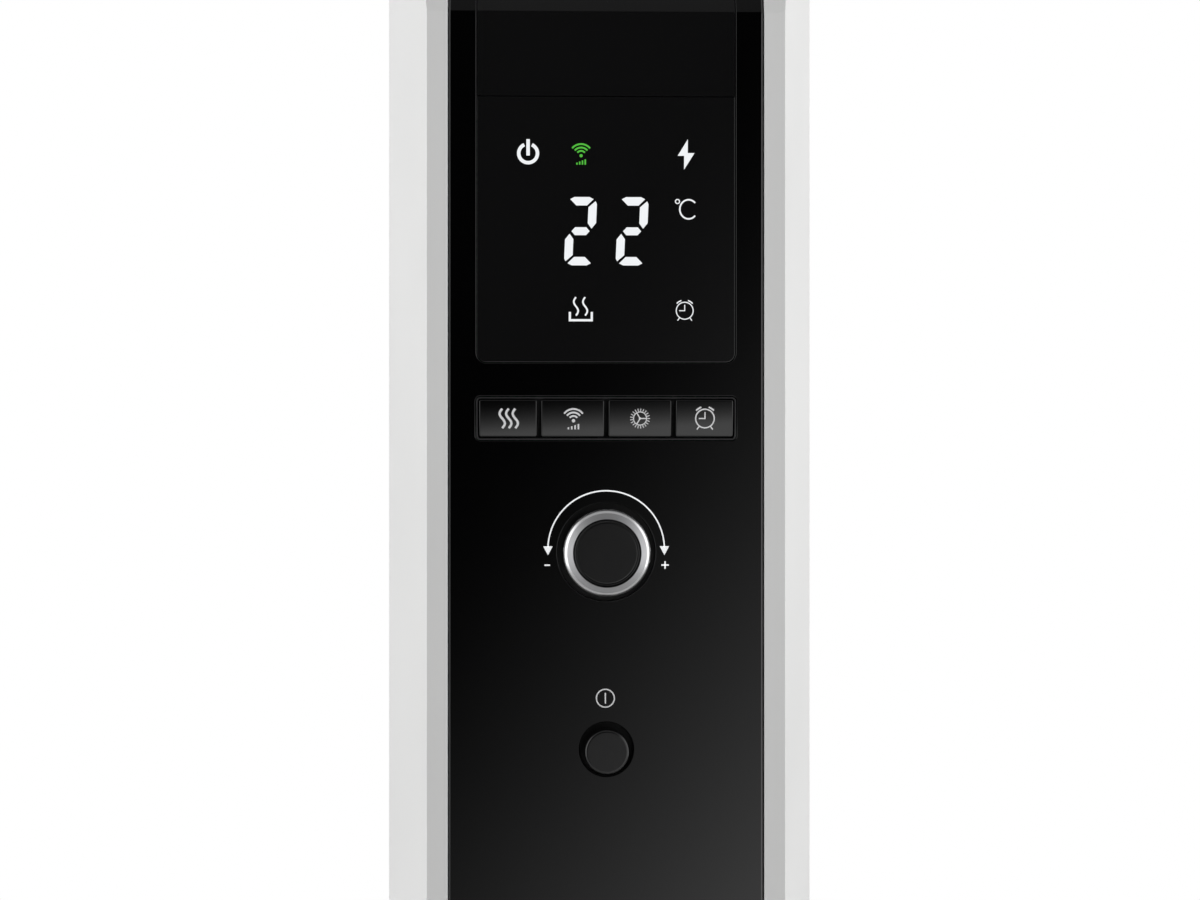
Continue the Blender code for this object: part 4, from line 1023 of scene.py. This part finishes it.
soften(shell, SLOT_EDGE, 3, pick=slot_edge)
hand_over(shell, housing_white, "housing_white", "housing_shell")
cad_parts["housing_back_plate"].data.materials[0] = galvanised


def make_screw_shape():
    """Pan head screw along Y, its head's seat at the origin, with a cross recess."""
    bm = bmesh.new()
    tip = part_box("housing_screw_left")[0][1] - back_y
    lathe(bm, "Y", [
        (SCREW_SHANK * 0.5, tip), (SCREW_SHANK, tip + 0.002), (SCREW_SHANK, 0.0), (SCREW_HEAD, 0.0),
        (SCREW_HEAD, 0.0007), (SCREW_HEAD * 0.86, 0.0015), (SCREW_HEAD * 0.55, 0.0020),
    ], (0.0, 0.0), 32)
    screw = add_piece("screw_shape", bm, 45.0)
    for size in (SCREW_CROSS, SCREW_CROSS[::-1]):
        carve(screw, solid("cross", "Y", rectangle(*size), 0.0008, 0.004))
    return screw


tree, given, result = start_tree("screw_pair", (
    ("Screw", "Object"), ("Half Spacing", "Float"), ("Middle", "Vector"), ("Plating", "Material"),
))
left, apart = (
    spread(tree, x=maths(tree, "MULTIPLY", given["Half Spacing"], share)) for share in (-1.0, 2.0)
)
pair = copies_along(tree, shape_of(tree, given["Screw"]), 2, apart, left)
end_tree(tree, result, moved(tree, pair, translation=given["Middle"]), given["Plating"])

screw_at = node_middle("housing_screw_right")
screw_shape = make_screw_shape()
screws = run_tree("housing_screws", tree, {
    "Screw": screw_shape, "Half Spacing": screw_at.x, "Middle": (0.0, back_y + SLOT_GAP, screw_at.z),
    "Plating": zinc_plate,
}, screw_shape)
hand_over(screws, None, "zinc_steel", "housing_screw_left", "housing_screw_right")


# ------------------------------------------------------------------ electrics
# Behind the fascia stand the control board with its display module, encoder and switch, and on the back
# plate the power board with its blocks and the thermal cut-out. All are plain solids with their finish.

module_grey = make_finish(
    "module_grey", ((0.25, 0.26, 0.27), (0.30, 0.31, 0.32)), (0.45, 0.60), 2400.0, 30.0, 0.02
)
trim_black = make_finish(
    "trim_black", ((0.010, 0.010, 0.011), (0.014, 0.014, 0.015)), (0.48, 0.62), 2800.0, 30.0, 0.02
)
board_green = make_finish(
    "board_green", ((0.012, 0.075, 0.032), (0.020, 0.115, 0.050)), (0.22, 0.34), 700.0, 40.0, 0.02
)
tree = board_green.node_tree
position = add_node(tree, "ShaderNodeTexCoord").outputs["Object"]
upright = add_node(tree, "ShaderNodeMapping", {"Vector": position, "Rotation": (pi / 2, 0.0, 0.0)}).outputs[0]
tracks = add_node(tree, "ShaderNodeTexBrick", {
    "Vector": upright, "Color1": (0.014, 0.085, 0.036, 1), "Color2": (0.020, 0.120, 0.052, 1),
    "Mortar": (0.045, 0.19, 0.075, 1), "Scale": 60.0, "Mortar Size": 0.012,
})
tree.links.new(tracks.outputs["Color"], tree.nodes["Principled BSDF"].inputs["Base Color"])

for look, nodes in (
    (module_grey, ("display_module", "rotary_encoder", "power_switch", "terminal_block")),
    (board_green, ("control_board", "power_board")),
    (trim_black, ("tilt_switch",)),
    (zinc_plate, ("thermal_cutout", "knob_shaft")),
):
    for node in nodes:
        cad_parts[node].data.materials[0] = look


# ------------------------------------------------------------------ fascia
# One high gloss black moulding that runs up the front, over the crease and back along the top. It has a
# channel for the cover and the display window, an opening for the keys, and two round wells with matt
# walls. Its long sides are rounded to a bright polished rim.

FASCIA_RECESS = 0.0005
FASCIA_THICK = 0.003
FASCIA_EDGE = 0.0008
CHANNEL_HALF = 0.0468
CHANNEL_LOW = 0.4733
CHANNEL_ROUND = 0.0036
INSERT_THICK = 0.0022
WELL_WALL = 0.0025
CUT_PAST = 0.002          # how far a cut runs past the faces that it opens
KNOB_WELL = (0.0178, 0.0045, 0.004)    # radius, depth, radius of the hole
POWER_WELL = (0.0098, 0.006, 0.0035)

gloss_black = make_finish(
    "fascia_gloss_black", ((0.0008, 0.0008, 0.0009), (0.0014, 0.0014, 0.0015)), (0.035, 0.060), 60.0, 8.0,
    0.0015,
)
well_black = make_finish(
    "well_matt_black", ((0.0010, 0.0010, 0.0011), (0.0016, 0.0016, 0.0017)), (0.55, 0.70), 3000.0, 20.0, 0.02
)
rim_black = make_finish(
    "fascia_polished_rim", ((0.0012, 0.0012, 0.0013), (0.0018, 0.0018, 0.0019)), (0.05, 0.08), 60.0, 8.0,
    0.001, ior=1.85,
)
fascia_face = front_y + FASCIA_RECESS
knob_at = node_middle("knob_cap")
power_at = node_middle("power_button")
tray_at = node_middle("key_tray")


def front_strip(name, bottom, thick, half_width):
    """Sheet that follows the housing's front up over the crease and back along the top."""
    def line(inset):
        return [(inset, bottom), *lean_points(inset), (fascia_high.y - front_y, shell_top - inset)]

    loop = line(FASCIA_RECESS) + line(FASCIA_RECESS + thick)[::-1]
    outer = TOP_ROUND - FASCIA_RECESS
    radii = [0, 0.0022, outer, 0, 0, outer - thick, 0.0022, 0]
    outline = fillet([(front_y + depth, height) for depth, height in loop], radii, 10)
    return solid(name, "X", outline, -half_width, half_width)


fascia = front_strip("fascia_moulding", fascia_low.z, FASCIA_THICK, fascia_high.x)
for centre, (radius, depth, hole) in ((knob_at, KNOB_WELL), (power_at, POWER_WELL)):
    across = (0.0, centre.z)
    back = fascia_face + depth + WELL_WALL
    carve(fascia, solid("boss", "Y", circle(radius + WELL_WALL, across, 96), fascia_face + 0.0015, back),
          operation="UNION")
    carve(
        fascia,
        solid("well", "Y", circle(radius, across, 96), front_y - CUT_PAST, fascia_face + depth),
        solid("hole", "Y", circle(hole, across, 32), front_y, back + CUT_PAST),
    )
channel = rectangle(2 * CHANNEL_HALF, 2 * (shell_top - CHANNEL_LOW), (0.0, shell_top), CHANNEL_ROUND)
tray_low, tray_high = node_box("key_tray")
tray_size = tray_high - tray_low
opening = rectangle(tray_size.x + 2 * SLOT_GAP, tray_size.z + 2 * SLOT_GAP, (0.0, tray_at.z), 0.0018)
carve(
    fascia,
    solid("channel", "Y", channel, front_y - CUT_PAST, fascia_high.y + CUT_PAST),
    solid("opening", "Y", opening, front_y - CUT_PAST, fascia_face + 2 * FASCIA_THICK),
)


def fascia_rim(one, other):
    """Whether an edge runs along the fascia's outer sides."""
    return abs(abs(one.x) - fascia_high.x) < 1e-6 and abs(abs(other.x) - fascia_high.x) < 1e-6


soften(fascia, FASCIA_EDGE, 5, pick=fascia_rim)
soften(fascia, 0.00030, 2, 50.0)
hand_over(fascia, gloss_black, "fascia_black", "fascia_panel")
fascia.data.materials.append(well_black)
fascia.data.materials.append(rim_black)
for face in fascia.data.polygons:
    sunk = face.center.y > fascia_face + 0.0004
    in_well = any(
        hypot(face.center.x, face.center.z - centre.z) < well[0] + 1e-4
        for centre, well in ((knob_at, KNOB_WELL), (power_at, POWER_WELL))
    )
    if sunk and in_well:
        face.material_index = 1
    elif abs(face.center.x) > fascia_high.x - FASCIA_EDGE and abs(face.normal.x) > 0.05:
        face.material_index = 2


# ------------------------------------------------------------------ cover and display window
# The upper cover and the smoked window are thin gloss sheets clipped into the fascia's channel, with a
# hairline joint between them. The display's figures and signs shine through the window.

SHEET_EDGE = 0.00032      # rounding of the sheets' rims
INK = 0.00006             # thickness of a printed or lit sign
SEGMENT_LEAN = 0.043
SEGMENT_END = ((-4.5, 11.6), (-2.75, 12.5), (2.75, 12.5), (4.5, 11.6), (2.0, 9.1), (-2.0, 9.1))
SEGMENT_SIDE = ((5.0, 11.1), (5.65, 9.9), (5.65, 2.9), (3.9, 0.65), (2.3, 2.8), (2.3, 8.7))
SEGMENT_MIDDLE = ((-3.5, 0.0), (-2.1, 1.6), (2.1, 1.6), (3.5, 0.0), (2.1, -1.6), (-2.1, -1.6))
SEGMENT_GAP = 0.34
DIGIT_SPACING = 18.6
DIGIT_DROP = -0.6

smoked_window = make_finish(
    "smoked_window", ((0.0056, 0.0056, 0.0058), (0.0064, 0.0064, 0.0066)), (0.030, 0.050), 60.0, 8.0, 0.001
)
window_low, window_high = node_box("display_window")
window_at = (window_low + window_high) / 2
cover_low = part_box("upper_cover")[0][2]


def cover_side(one, other):
    """Whether an edge runs along one side of the cover, and not across its thickness or along the joint."""
    return abs(one.x - other.x) < 1e-6 and (one - other).length > 2 * INSERT_THICK


def window_rim(one, other):
    """Whether an edge follows the window's sides or its foot, and not its thickness or the joint."""
    joint = min(one.z, other.z) > window_high.z - 1e-6
    return abs(one.y - other.y) < 1e-6 and not joint


cover = front_strip("cover_sheet", cover_low, INSERT_THICK, CHANNEL_HALF - SLOT_GAP)
hand_over(soften(cover, SHEET_EDGE, 2, pick=cover_side), smoked_window, "fascia_black", "upper_cover")

corners = [
    (window_low.x, window_low.z), (window_high.x, window_low.z),
    (window_high.x, window_high.z), (window_low.x, window_high.z),
]
pane = fillet(corners, [CHANNEL_ROUND - SLOT_GAP] * 2 + [0, 0], 12)
window = solid("window_pane", "Y", pane, window_low.y, window_high.y)
hand_over(soften(window, SHEET_EDGE, 2, pick=window_rim), smoked_window, "window_black", "display_window")


def make_light(name, colour, strength):
    """Lit sign: a diffuse white print with the lamp's glow through it, a little uneven. Also used to give
    plain print a painted glow, with no lamp behind it.
    """
    look = bpy.data.materials.new(name)
    look.use_nodes = True
    tree = look.node_tree
    shader = tree.nodes["Principled BSDF"]
    shader.inputs["Roughness"].default_value = 0.4
    shader.inputs["Emission Strength"].default_value = strength
    position = add_node(tree, "ShaderNodeTexCoord").outputs["Object"]
    uneven = add_node(tree, "ShaderNodeTexNoise", {"Vector": position, "Scale": 90.0, "Detail": 1.0})
    dimmer = tuple(0.90 * part for part in colour)
    glow = add_node(
        tree, "ShaderNodeMix",
        {"Factor": uneven.outputs["Fac"], "A": (*dimmer, 1), "B": (*colour, 1)}, data_type="RGBA",
    )
    shader.inputs["Base Color"].default_value = (*(0.1 * part for part in colour), 1)
    tree.links.new(glow.outputs["Result"], shader.inputs["Emission Color"])
    return look


white_light = make_light("display_white", (0.86, 0.88, 0.90), 1.0)
green_light = make_light("display_green", (0.075, 0.48, 0.040), 1.0)
print_grey = make_finish(
    "print_grey", ((0.76, 0.76, 0.77), (0.82, 0.82, 0.83)), (0.40, 0.55), 6000.0, 60.0, 0.004
)
# The fascia's white print is no lamp: its emission is a painted glow on the print.
print_white = make_light("print_white", (0.46, 0.47, 0.48), 1.0)
print_white.node_tree.nodes["Principled BSDF"].inputs["Base Color"].default_value = (0.78, 0.79, 0.80, 1)


def arc(centre, radius, start, end, steps=24):
    """Points on an arc, in millimetres, from one angle to another in degrees (0 is +X, 90 is up)."""
    turns = (radians(start + (end - start) * step / steps) for step in range(steps + 1))
    return [(centre[0] + radius * cos(turn), centre[1] + radius * sin(turn)) for turn in turns]


def stroke(line, width, closed=False):
    """Both sides of a line of a given width, with mitred bends."""
    left, right = [], []
    points = [Vector(point) for point in line]
    for index, point in enumerate(points):
        if closed:
            last, after = points[index - 1], points[(index + 1) % len(points)]
        else:
            last, after = points[max(index - 1, 0)], points[min(index + 1, len(points) - 1)]
        into = (point - last).normalized() if point != last else (after - point).normalized()
        out = (after - point).normalized() if after != point else into
        middle = (into + out).normalized()
        reach = width / 2 / max(middle.dot(into), 0.4)
        side = Vector((-middle.y, middle.x)) * reach
        left.append(point + side)
        right.append(point - side)
    return left, right, closed


def ring(centre, radius, width):
    """Closed circular stroke: radius is its outer one."""
    return stroke(arc(centre, radius - width / 2, 0, 360, 40)[:-1], width, closed=True)


def patch(outline):
    """Filled convex sign, as the two sides of a strip from end to end."""
    half = len(outline) // 2
    upper = outline[:half]
    lower = outline[half:][::-1]
    if len(lower) > len(upper):
        upper = upper + [upper[-1]]
    return [Vector(point) for point in upper], [Vector(point) for point in lower], False


def dot(centre, radius):
    """Filled round spot."""
    return patch(arc(centre, radius, 0, 360, 20)[:-1])


def print_sign(name, strips, centre, face, look, body="root", bow=None):
    """Thin sign on a face, made of strips in millimetres about a centre.

    bow gives the face's depth by height, where the face isn't flat.
    """
    def spot(x, z, y):
        height = centre[1] + z * MM
        return (centre[0] + x * MM, y + (bow(height) if bow else 0.0), height)

    bm = bmesh.new()
    for left, right, closed in strips:
        rows = [
            [bm.verts.new(spot(x, z, y)) for x, z in side]
            for y in (face - INK, face) for side in (left, right)
        ]
        count = len(left)
        around = ((0, 1), (1, 3), (3, 2), (2, 0))
        for index in range(count if closed else count - 1):
            after = (index + 1) % count
            for one, other in around:
                ends = (rows[one][index], rows[other][index], rows[other][after], rows[one][after])
                bm.faces.new(ends)
        if not closed:
            for index in (0, -1):
                bm.faces.new([rows[row][index] for row in (0, 1, 3, 2)])
    bmesh.ops.remove_doubles(bm, verts=bm.verts, dist=1e-7)
    bmesh.ops.dissolve_degenerate(bm, edges=bm.edges, dist=1e-7)
    sign = add_piece(name, bm)
    sign.data.materials.append(look)
    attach(sign, body)
    return sign


def flip(outline, x=1, z=1):
    """Outline mirrored across either axis."""
    return [(x * place, z * height) for place, height in outline]


def power_sign(radius, width, gap, low, high):
    """Circle open at the top by a gap in degrees, with an upright bar between two heights."""
    opening = arc((0.0, 0.0), radius - width / 2, 90 + gap, 450 - gap, 40)
    return [stroke(opening, width), stroke([(0.0, low), (0.0, high)], width)]


def alarm_sign(radius, width):
    """Alarm clock: ring, two bells, two feet, and hands at nine o'clock."""
    signs = [ring((0.0, 0.0), radius, width)]
    for side in (-1, 1):
        middle = 90 - side * 33
        signs.append(stroke(arc((0.0, 0.0), radius * 1.19, middle - 15, middle + 15, 8), width * 1.2))
        leg = radians(-90 + side * 36)
        ends = [(radius * reach * cos(leg), radius * reach * sin(leg)) for reach in (0.98, 1.36)]
        signs.append(stroke(ends, width))
    signs.append(stroke([(0.0, radius * 0.66), (0.0, 0.0), (-radius * 0.62, 0.0)], width * 0.9))
    return signs


def wireless_sign(radii, width, spread_angle=50):
    """Dot with three arcs over it."""
    signs = [dot((0.0, 0.0), width * 0.95)]
    start, end = 90 + spread_angle, 90 - spread_angle
    return signs + [stroke(arc((0.0, 0.0), radius, start, end), width) for radius in radii]


def signal_bars(spacing, width):
    """Four upright bars in a row, each taller than the last."""
    steps = ((-1.5, 0.7), (-0.5, 1.1), (0.5, 1.5), (1.5, 1.9))
    return [stroke([(spacing * place, 0.0), (spacing * place, height)], width) for place, height in steps]


def shifted(strips, x, z):
    """Strips moved sideways and up."""
    shift = Vector((x, z))
    return [([point + shift for point in left], [point + shift for point in right], closed)
            for left, right, closed in strips]


def wave(x, low, high, sway, width, bends=1.0):
    """Upright wavy line."""
    line = [
        (x + sway * sin(2 * pi * bends * step / 16), low + (high - low) * step / 16) for step in range(17)
    ]
    return stroke(line, width)


segments = (
    SEGMENT_END, SEGMENT_SIDE, SEGMENT_MIDDLE, flip(SEGMENT_SIDE, -1, -1), flip(SEGMENT_END, -1, -1)
)
digit = [patch(stroke(segment, SEGMENT_GAP, closed=True)[1]) for segment in segments]
leaning = [
    tuple(
        [Vector((point.x + SEGMENT_LEAN * point.y, point.y)) for point in side] for side in strip[:2]
    ) + (False,)
    for strip in digit
]
face = window_low.y
middle = (window_at.x, window_at.z)
for name, side in (("tens", -1), ("units", 1)):
    figure = shifted(leaning, side * DIGIT_SPACING / 2, DIGIT_DROP)
    print_sign(f"display_digit_{name}", figure, middle, face, white_light)

bolt = [
    patch([(0.7, 5.5), (-3.0, -0.5), (-0.65, -0.5), (0.65, 0.5)]),
    patch([(-0.7, -5.5), (3.1, 0.5), (0.65, 0.5), (-0.65, -0.5)]),
]
degree = [
    ring((-4.0, 2.8), 0.93, 0.38),
    stroke([(x * 0.92, z) for x, z in arc((0.0, 0.0), 3.45, 42, 318, 30)], 0.56),
]
warm_tray = [stroke([(-3.95, 1.9), (-3.95, -1.1), (3.95, -1.1), (3.95, 1.9)], 0.8)]
warm_tray += [wave(x, 0.6, 7.2, 0.8, 0.62) for x in (-1.75, 1.55)]
display_signs = {         # strips, place from the window's middle in millimetres, and lamp
    "power_sign": (power_sign(4.0, 1.25, 24, -0.8, 5.1), (-28.2, 27.4), white_light),
    "wireless_sign": (wireless_sign((4.2, 2.95, 1.75), 0.62), (-9.1, 26.6), green_light),
    "signal_bars": (signal_bars(1.0, 0.55), (-9.1, 23.4), green_light),
    "bolt_sign": (bolt, (28.75, 27.2), white_light),
    "degree_sign": (degree, (29.7, 7.4), white_light),
    "heating_sign": (warm_tray, (-9.2, -31.6), white_light),
    "alarm_sign": (alarm_sign(3.24, 0.36), (28.3, -29.2), white_light),
}
for name, (strips, shift, lamp) in display_signs.items():
    print_sign(f"display_{name}", shifted(strips, *shift), middle, face, lamp)


# ------------------------------------------------------------------ keys
# Four gloss black keys move in a matt tray, a dark gap apart. Their faces curve back towards the foot,
# and each has a light printed sign that follows the curve.

KEY_FALL = 0.0015         # how far the face falls back from its top edge to its foot
KEY_STEPS = 14            # level cuts that the curve is made of
TRAY_WALL = 0.0006
TRAY_FLOOR = 0.0015
GEAR_TEETH = 21

key_black = make_finish(
    "key_black", ((0.0016, 0.0016, 0.0017), (0.0022, 0.0022, 0.0023)), (0.08, 0.12), 2600.0, 20.0, 0.003
)
outer = rectangle(tray_size.x, tray_size.z, (0.0, tray_at.z), 0.0015)
tray = solid("key_tray_frame", "Y", outer, tray_low.y, tray_high.y)
pocket = rectangle(tray_size.x - 2 * TRAY_WALL, tray_size.z - 2 * TRAY_WALL, (0.0, tray_at.z), 0.0009)
carve(tray, solid("pocket", "Y", pocket, front_y - CUT_PAST, tray_high.y - TRAY_FLOOR))
hand_over(soften(tray, 0.0002, 2, 45.0), trim_black, "trim_black", "key_tray")


def key_bow(low, high):
    """Depth of a key's face by height: upright at the top and falling back towards the foot."""
    return lambda height: KEY_FALL * ((high.z - height) / (high.z - low.z)) ** 2


def make_key(name, low, high):
    """Key cap with rounded corners, rounded edges and a face that curves back towards its foot."""
    size = high - low
    middle = ((low.x + high.x) / 2, (low.z + high.z) / 2)
    cap = solid(name, "Y", rectangle(size.x, size.z, middle, 0.0006, 3), low.y, high.y)
    bow = key_bow(low, high)
    bm = bmesh.new()
    bm.from_mesh(cap.data)
    for step in range(1, KEY_STEPS):
        level = (0.0, 0.0, low.z + size.z * step / KEY_STEPS)
        everything = bm.verts[:] + bm.edges[:] + bm.faces[:]
        bmesh.ops.bisect_plane(bm, geom=everything, plane_co=level, plane_no=(0, 0, 1))
    for vertex in bm.verts:
        if vertex.co.y < low.y + 1e-6:
            vertex.co.y += bow(vertex.co.z)
    bm.to_mesh(cap.data)
    bm.free()
    return soften(cap, 0.0004, 3, 40.0)


gear = [ring((0.0, 0.0), 2.55, 0.36), dot((0.0, 0.0), 0.45)]
for tooth in range(GEAR_TEETH):
    step = 2 * pi * tooth / GEAR_TEETH
    gear.append(stroke([(radius * cos(step), radius * sin(step)) for radius in (2.65, 3.6)], 0.30))
    if tooth % (GEAR_TEETH // 3) == 0:
        gear.append(stroke([(0.0, 0.0), (2.5 * cos(step), 2.5 * sin(step))], 0.42))
key_signs = {
    "heat_key": [wave(x, -3.5, 3.5, 0.95, 0.84) for x in (-2.1, 0.25, 2.6)],
    "wireless_key": shifted(wireless_sign((4.2, 2.95, 1.7), 0.66, 53), 0.25, -0.8)
    + shifted(signal_bars(1.2, 0.6), 0.25, -3.9),
    "settings_key": gear,
    "timer_key": shifted(alarm_sign(3.6, 0.48), 0.15, 0.0),
}
for name, sign in key_signs.items():
    low, high = node_box(name)
    hand_over(make_key(f"{name}_cap", low, high), key_black, "key_black", name, body=name)
    place = ((low.x + high.x) / 2, (low.z + high.z) / 2)
    print_sign(f"{name}_sign", sign, place, low.y, print_grey, body=name, bow=key_bow(low, high))


# ------------------------------------------------------------------ knob
# The turning knob is a satin chromed ring, whose dished inner band is a rougher metal painted darker as
# painted shade, and a gloss black cap pressed into it. An arc with two arrow heads is printed on the
# fascia over it, between a minus and a plus; the print is given a painted glow.

KNOB_RADIUS = 0.0156
KNOB_CAP = 0.0120
KNOB_BORE = 0.0033        # for the shaft
KNOB_ROUND = 0.0035       # rounding of the ring's outer edge
KNOB_INNER = 0.0122       # inside of the ring's dished band
KNOB_CAP_PROFILE = (      # radius and depth below the cap's face, in millimetres: face, groove and rim
    (0.8, 0.0), (7.0, 0.0), (10.5, 0.0), (10.75, 0.0), (10.85, 0.08), (10.95, 0.45), (11.05, 0.45),
    (11.15, 0.12), (11.25, 0.08), (11.35, 0.12), (11.95, 0.72), (12.0, 1.0),
)
ARC_RADIUS = 21.0
ARC_LIFT = 1.1            # of the arc's centre over the knob's axis, in millimetres

satin_chrome = make_finish(
    "satin_chrome", ((0.61, 0.61, 0.62), (0.66, 0.66, 0.67)), (0.17, 0.24), 1500.0, 45.0, 0.002, metallic=1.0
)
cap_black = make_finish(
    "cap_gloss_black", ((0.0040, 0.0040, 0.0042), (0.0048, 0.0048, 0.0050)), (0.20, 0.26), 1800.0, 20.0, 0.002
)
# The dished band's metal is rougher, and its colour is painted darker than the chrome: painted shade.
band_metal_painted_shade = make_finish(
    "blasted_metal", ((0.37, 0.37, 0.38), (0.41, 0.41, 0.42)), (0.42, 0.52), 2600.0, 45.0, 0.003, metallic=1.0
)
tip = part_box("knob_ring")[0][1]
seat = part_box("knob_cap")[1][1]
knob_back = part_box("knob_ring")[1][1]
brow, ridge, dish = radians(24), radians(58), radians(30)
band = KNOB_RADIUS - KNOB_ROUND * (cos(brow) - cos(ridge))    # where the rounding meets the dished band
fall = (band - KNOB_INNER) * tan(dish)
bm = bmesh.new()
lathe(bm, "Y", [
    (KNOB_BORE, knob_back), (KNOB_RADIUS - 0.0004, knob_back), (KNOB_RADIUS, knob_back - 0.0004),
    *[(KNOB_RADIUS - KNOB_ROUND * (cos(brow) - cos(step)),
       tip + fall + KNOB_ROUND * (sin(ridge) - sin(step)))
      for step in (brow + (ridge - brow) * part / 8 for part in range(9))],
    (KNOB_INNER + 0.0001, tip + 0.00008), (KNOB_INNER, tip + 0.00012),
    (KNOB_INNER - 0.0001, tip + 0.0004), (KNOB_INNER - 0.0001, tip + 0.0020),
    (KNOB_CAP + 0.0003, tip + 0.0022), (KNOB_CAP + 0.0003, seat), (KNOB_BORE, seat),
], (0.0, knob_at.z), 128, closed=True)
ring_piece = add_piece("knob_ring_turned", bm, 35.0)
hand_over(ring_piece, satin_chrome, "knob_metal", "knob_ring", body="knob")
ring_piece.data.materials.append(band_metal_painted_shade)
# Faces of the dished band take the darker metal: painted shade.
for face in ring_piece.data.polygons:
    reach = hypot(face.center.x, face.center.z - knob_at.z)
    if face.center.y < tip + fall and KNOB_INNER < reach < band:
        face.material_index = 1

cap_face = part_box("knob_cap")[0][1]
bm = bmesh.new()
lathe(bm, "Y", [(radius * MM, cap_face + depth * MM) for radius, depth in KNOB_CAP_PROFILE]
      + [(KNOB_CAP, seat - 0.0003)], (0.0, knob_at.z), 96)
hand_over(add_piece("knob_cap_disc", bm, 50.0), cap_black, "fascia_black", "knob_cap", body="knob")

arrows = [stroke(arc((0.0, 0.0), ARC_RADIUS, 178, 2, 72), 0.50)]
for side in (-1, 1):
    arrows.append(patch([
        (side * ARC_RADIUS - 1.7, 1.0), (side * ARC_RADIUS + 1.7, 1.0),
        (side * ARC_RADIUS, -2.2), (side * ARC_RADIUS, -2.2),
    ]))
place = (0.0, knob_at.z)
print_sign("knob_arc_arrow", shifted(arrows, -0.05, ARC_LIFT), place, fascia_face, print_white)
minus = [stroke([(-22.3, 0.0), (-20.3, 0.0)], 0.50)]
plus = [stroke([(19.85, 0.0), (22.55, 0.0)], 0.55), stroke([(21.2, -1.35), (21.2, 1.35)], 0.55)]
print_sign("knob_minus_sign", shifted(minus, 0.0, -4.7), place, fascia_face, print_white)
print_sign("knob_plus_sign", shifted(plus, 0.0, -4.7), place, fascia_face, print_white)


# ------------------------------------------------------------------ power button
# A round push button in black plastic, standing in its own well, with a printed power sign over it. Its
# stem goes through the well into the switch.

BUTTON_RADIUS = 0.00785
BUTTON_STEM = 0.003
SIGN_OVER_BUTTON = 18.4

button_black = make_finish(
    "button_black", ((0.0048, 0.0048, 0.0050), (0.0056, 0.0056, 0.0058)), (0.16, 0.22), 2200.0, 20.0, 0.001
)
low, high = node_box("power_button")
skirt = fascia_face + 0.001
bm = bmesh.new()
lathe(bm, "Y", [
    (0.0008, low.y), (BUTTON_RADIUS * 0.6, low.y), (BUTTON_RADIUS - 0.0009, low.y),
    (BUTTON_RADIUS - 0.0006, low.y), (BUTTON_RADIUS - 0.0002, low.y + 0.00022),
    (BUTTON_RADIUS, low.y + 0.0006), (BUTTON_RADIUS, skirt - 0.0002), (BUTTON_RADIUS - 0.0002, skirt),
    (BUTTON_STEM, skirt), (BUTTON_STEM, high.y),
], (0.0, power_at.z), 80)
button = add_piece("power_button_cap", bm, 50.0)
hand_over(button, button_black, "key_black", "power_button", body="power_button")
standby = [ring((0.0, 0.0), 3.45, 0.45), stroke([(0.0, -1.95), (0.0, 1.95)], 0.48)]
print_sign(
    "power_sign", shifted(standby, -0.35, SIGN_OVER_BUTTON), (0.0, power_at.z), fascia_face, print_grey,
)


# ------------------------------------------------------------------ cord gland
# A black nylon gland clipped into the housing's underside, ribbed so that it can bend with a cord. Its
# bore is open, and no cord is made.

GLAND_RADIUS = 0.0075
GLAND_COLLAR = 0.0095
GLAND_BORE = 0.0042
GLAND_RIBS = 5

low, high = node_box("cable_gland")
centre = node_middle("cable_gland")
bm = bmesh.new()
outside = [(GLAND_COLLAR - 0.0005, high.z), (GLAND_COLLAR, high.z - 0.0005), (GLAND_COLLAR, high.z - 0.0035),
           (GLAND_COLLAR - 0.0005, high.z - 0.004)]
for number in range(GLAND_RIBS):
    top = high.z - 0.0045 - number * 0.0026
    radius = GLAND_RADIUS * (1.0 - 0.03 * number)
    outside += [(radius - 0.0012, top), (radius - 0.0012, top - 0.0007), (radius - 0.0002, top - 0.0011),
                (radius, top - 0.0014), (radius, top - 0.0020), (radius - 0.0002, top - 0.0023)]
outside += [(GLAND_RADIUS * 0.82, low.z + 0.0003), (GLAND_RADIUS * 0.78, low.z)]
gland_end = low.z + 0.014
inside = [
    (GLAND_BORE + 0.0006, low.z), (GLAND_BORE, low.z + 0.0006), (GLAND_BORE, gland_end), (0.0008, gland_end)
]
lathe(bm, "Z", outside + inside, (centre.x, centre.y), 56)
hand_over(add_piece("cord_gland_moulded", bm, 35.0), castor_nylon, "trim_black", "cable_gland")
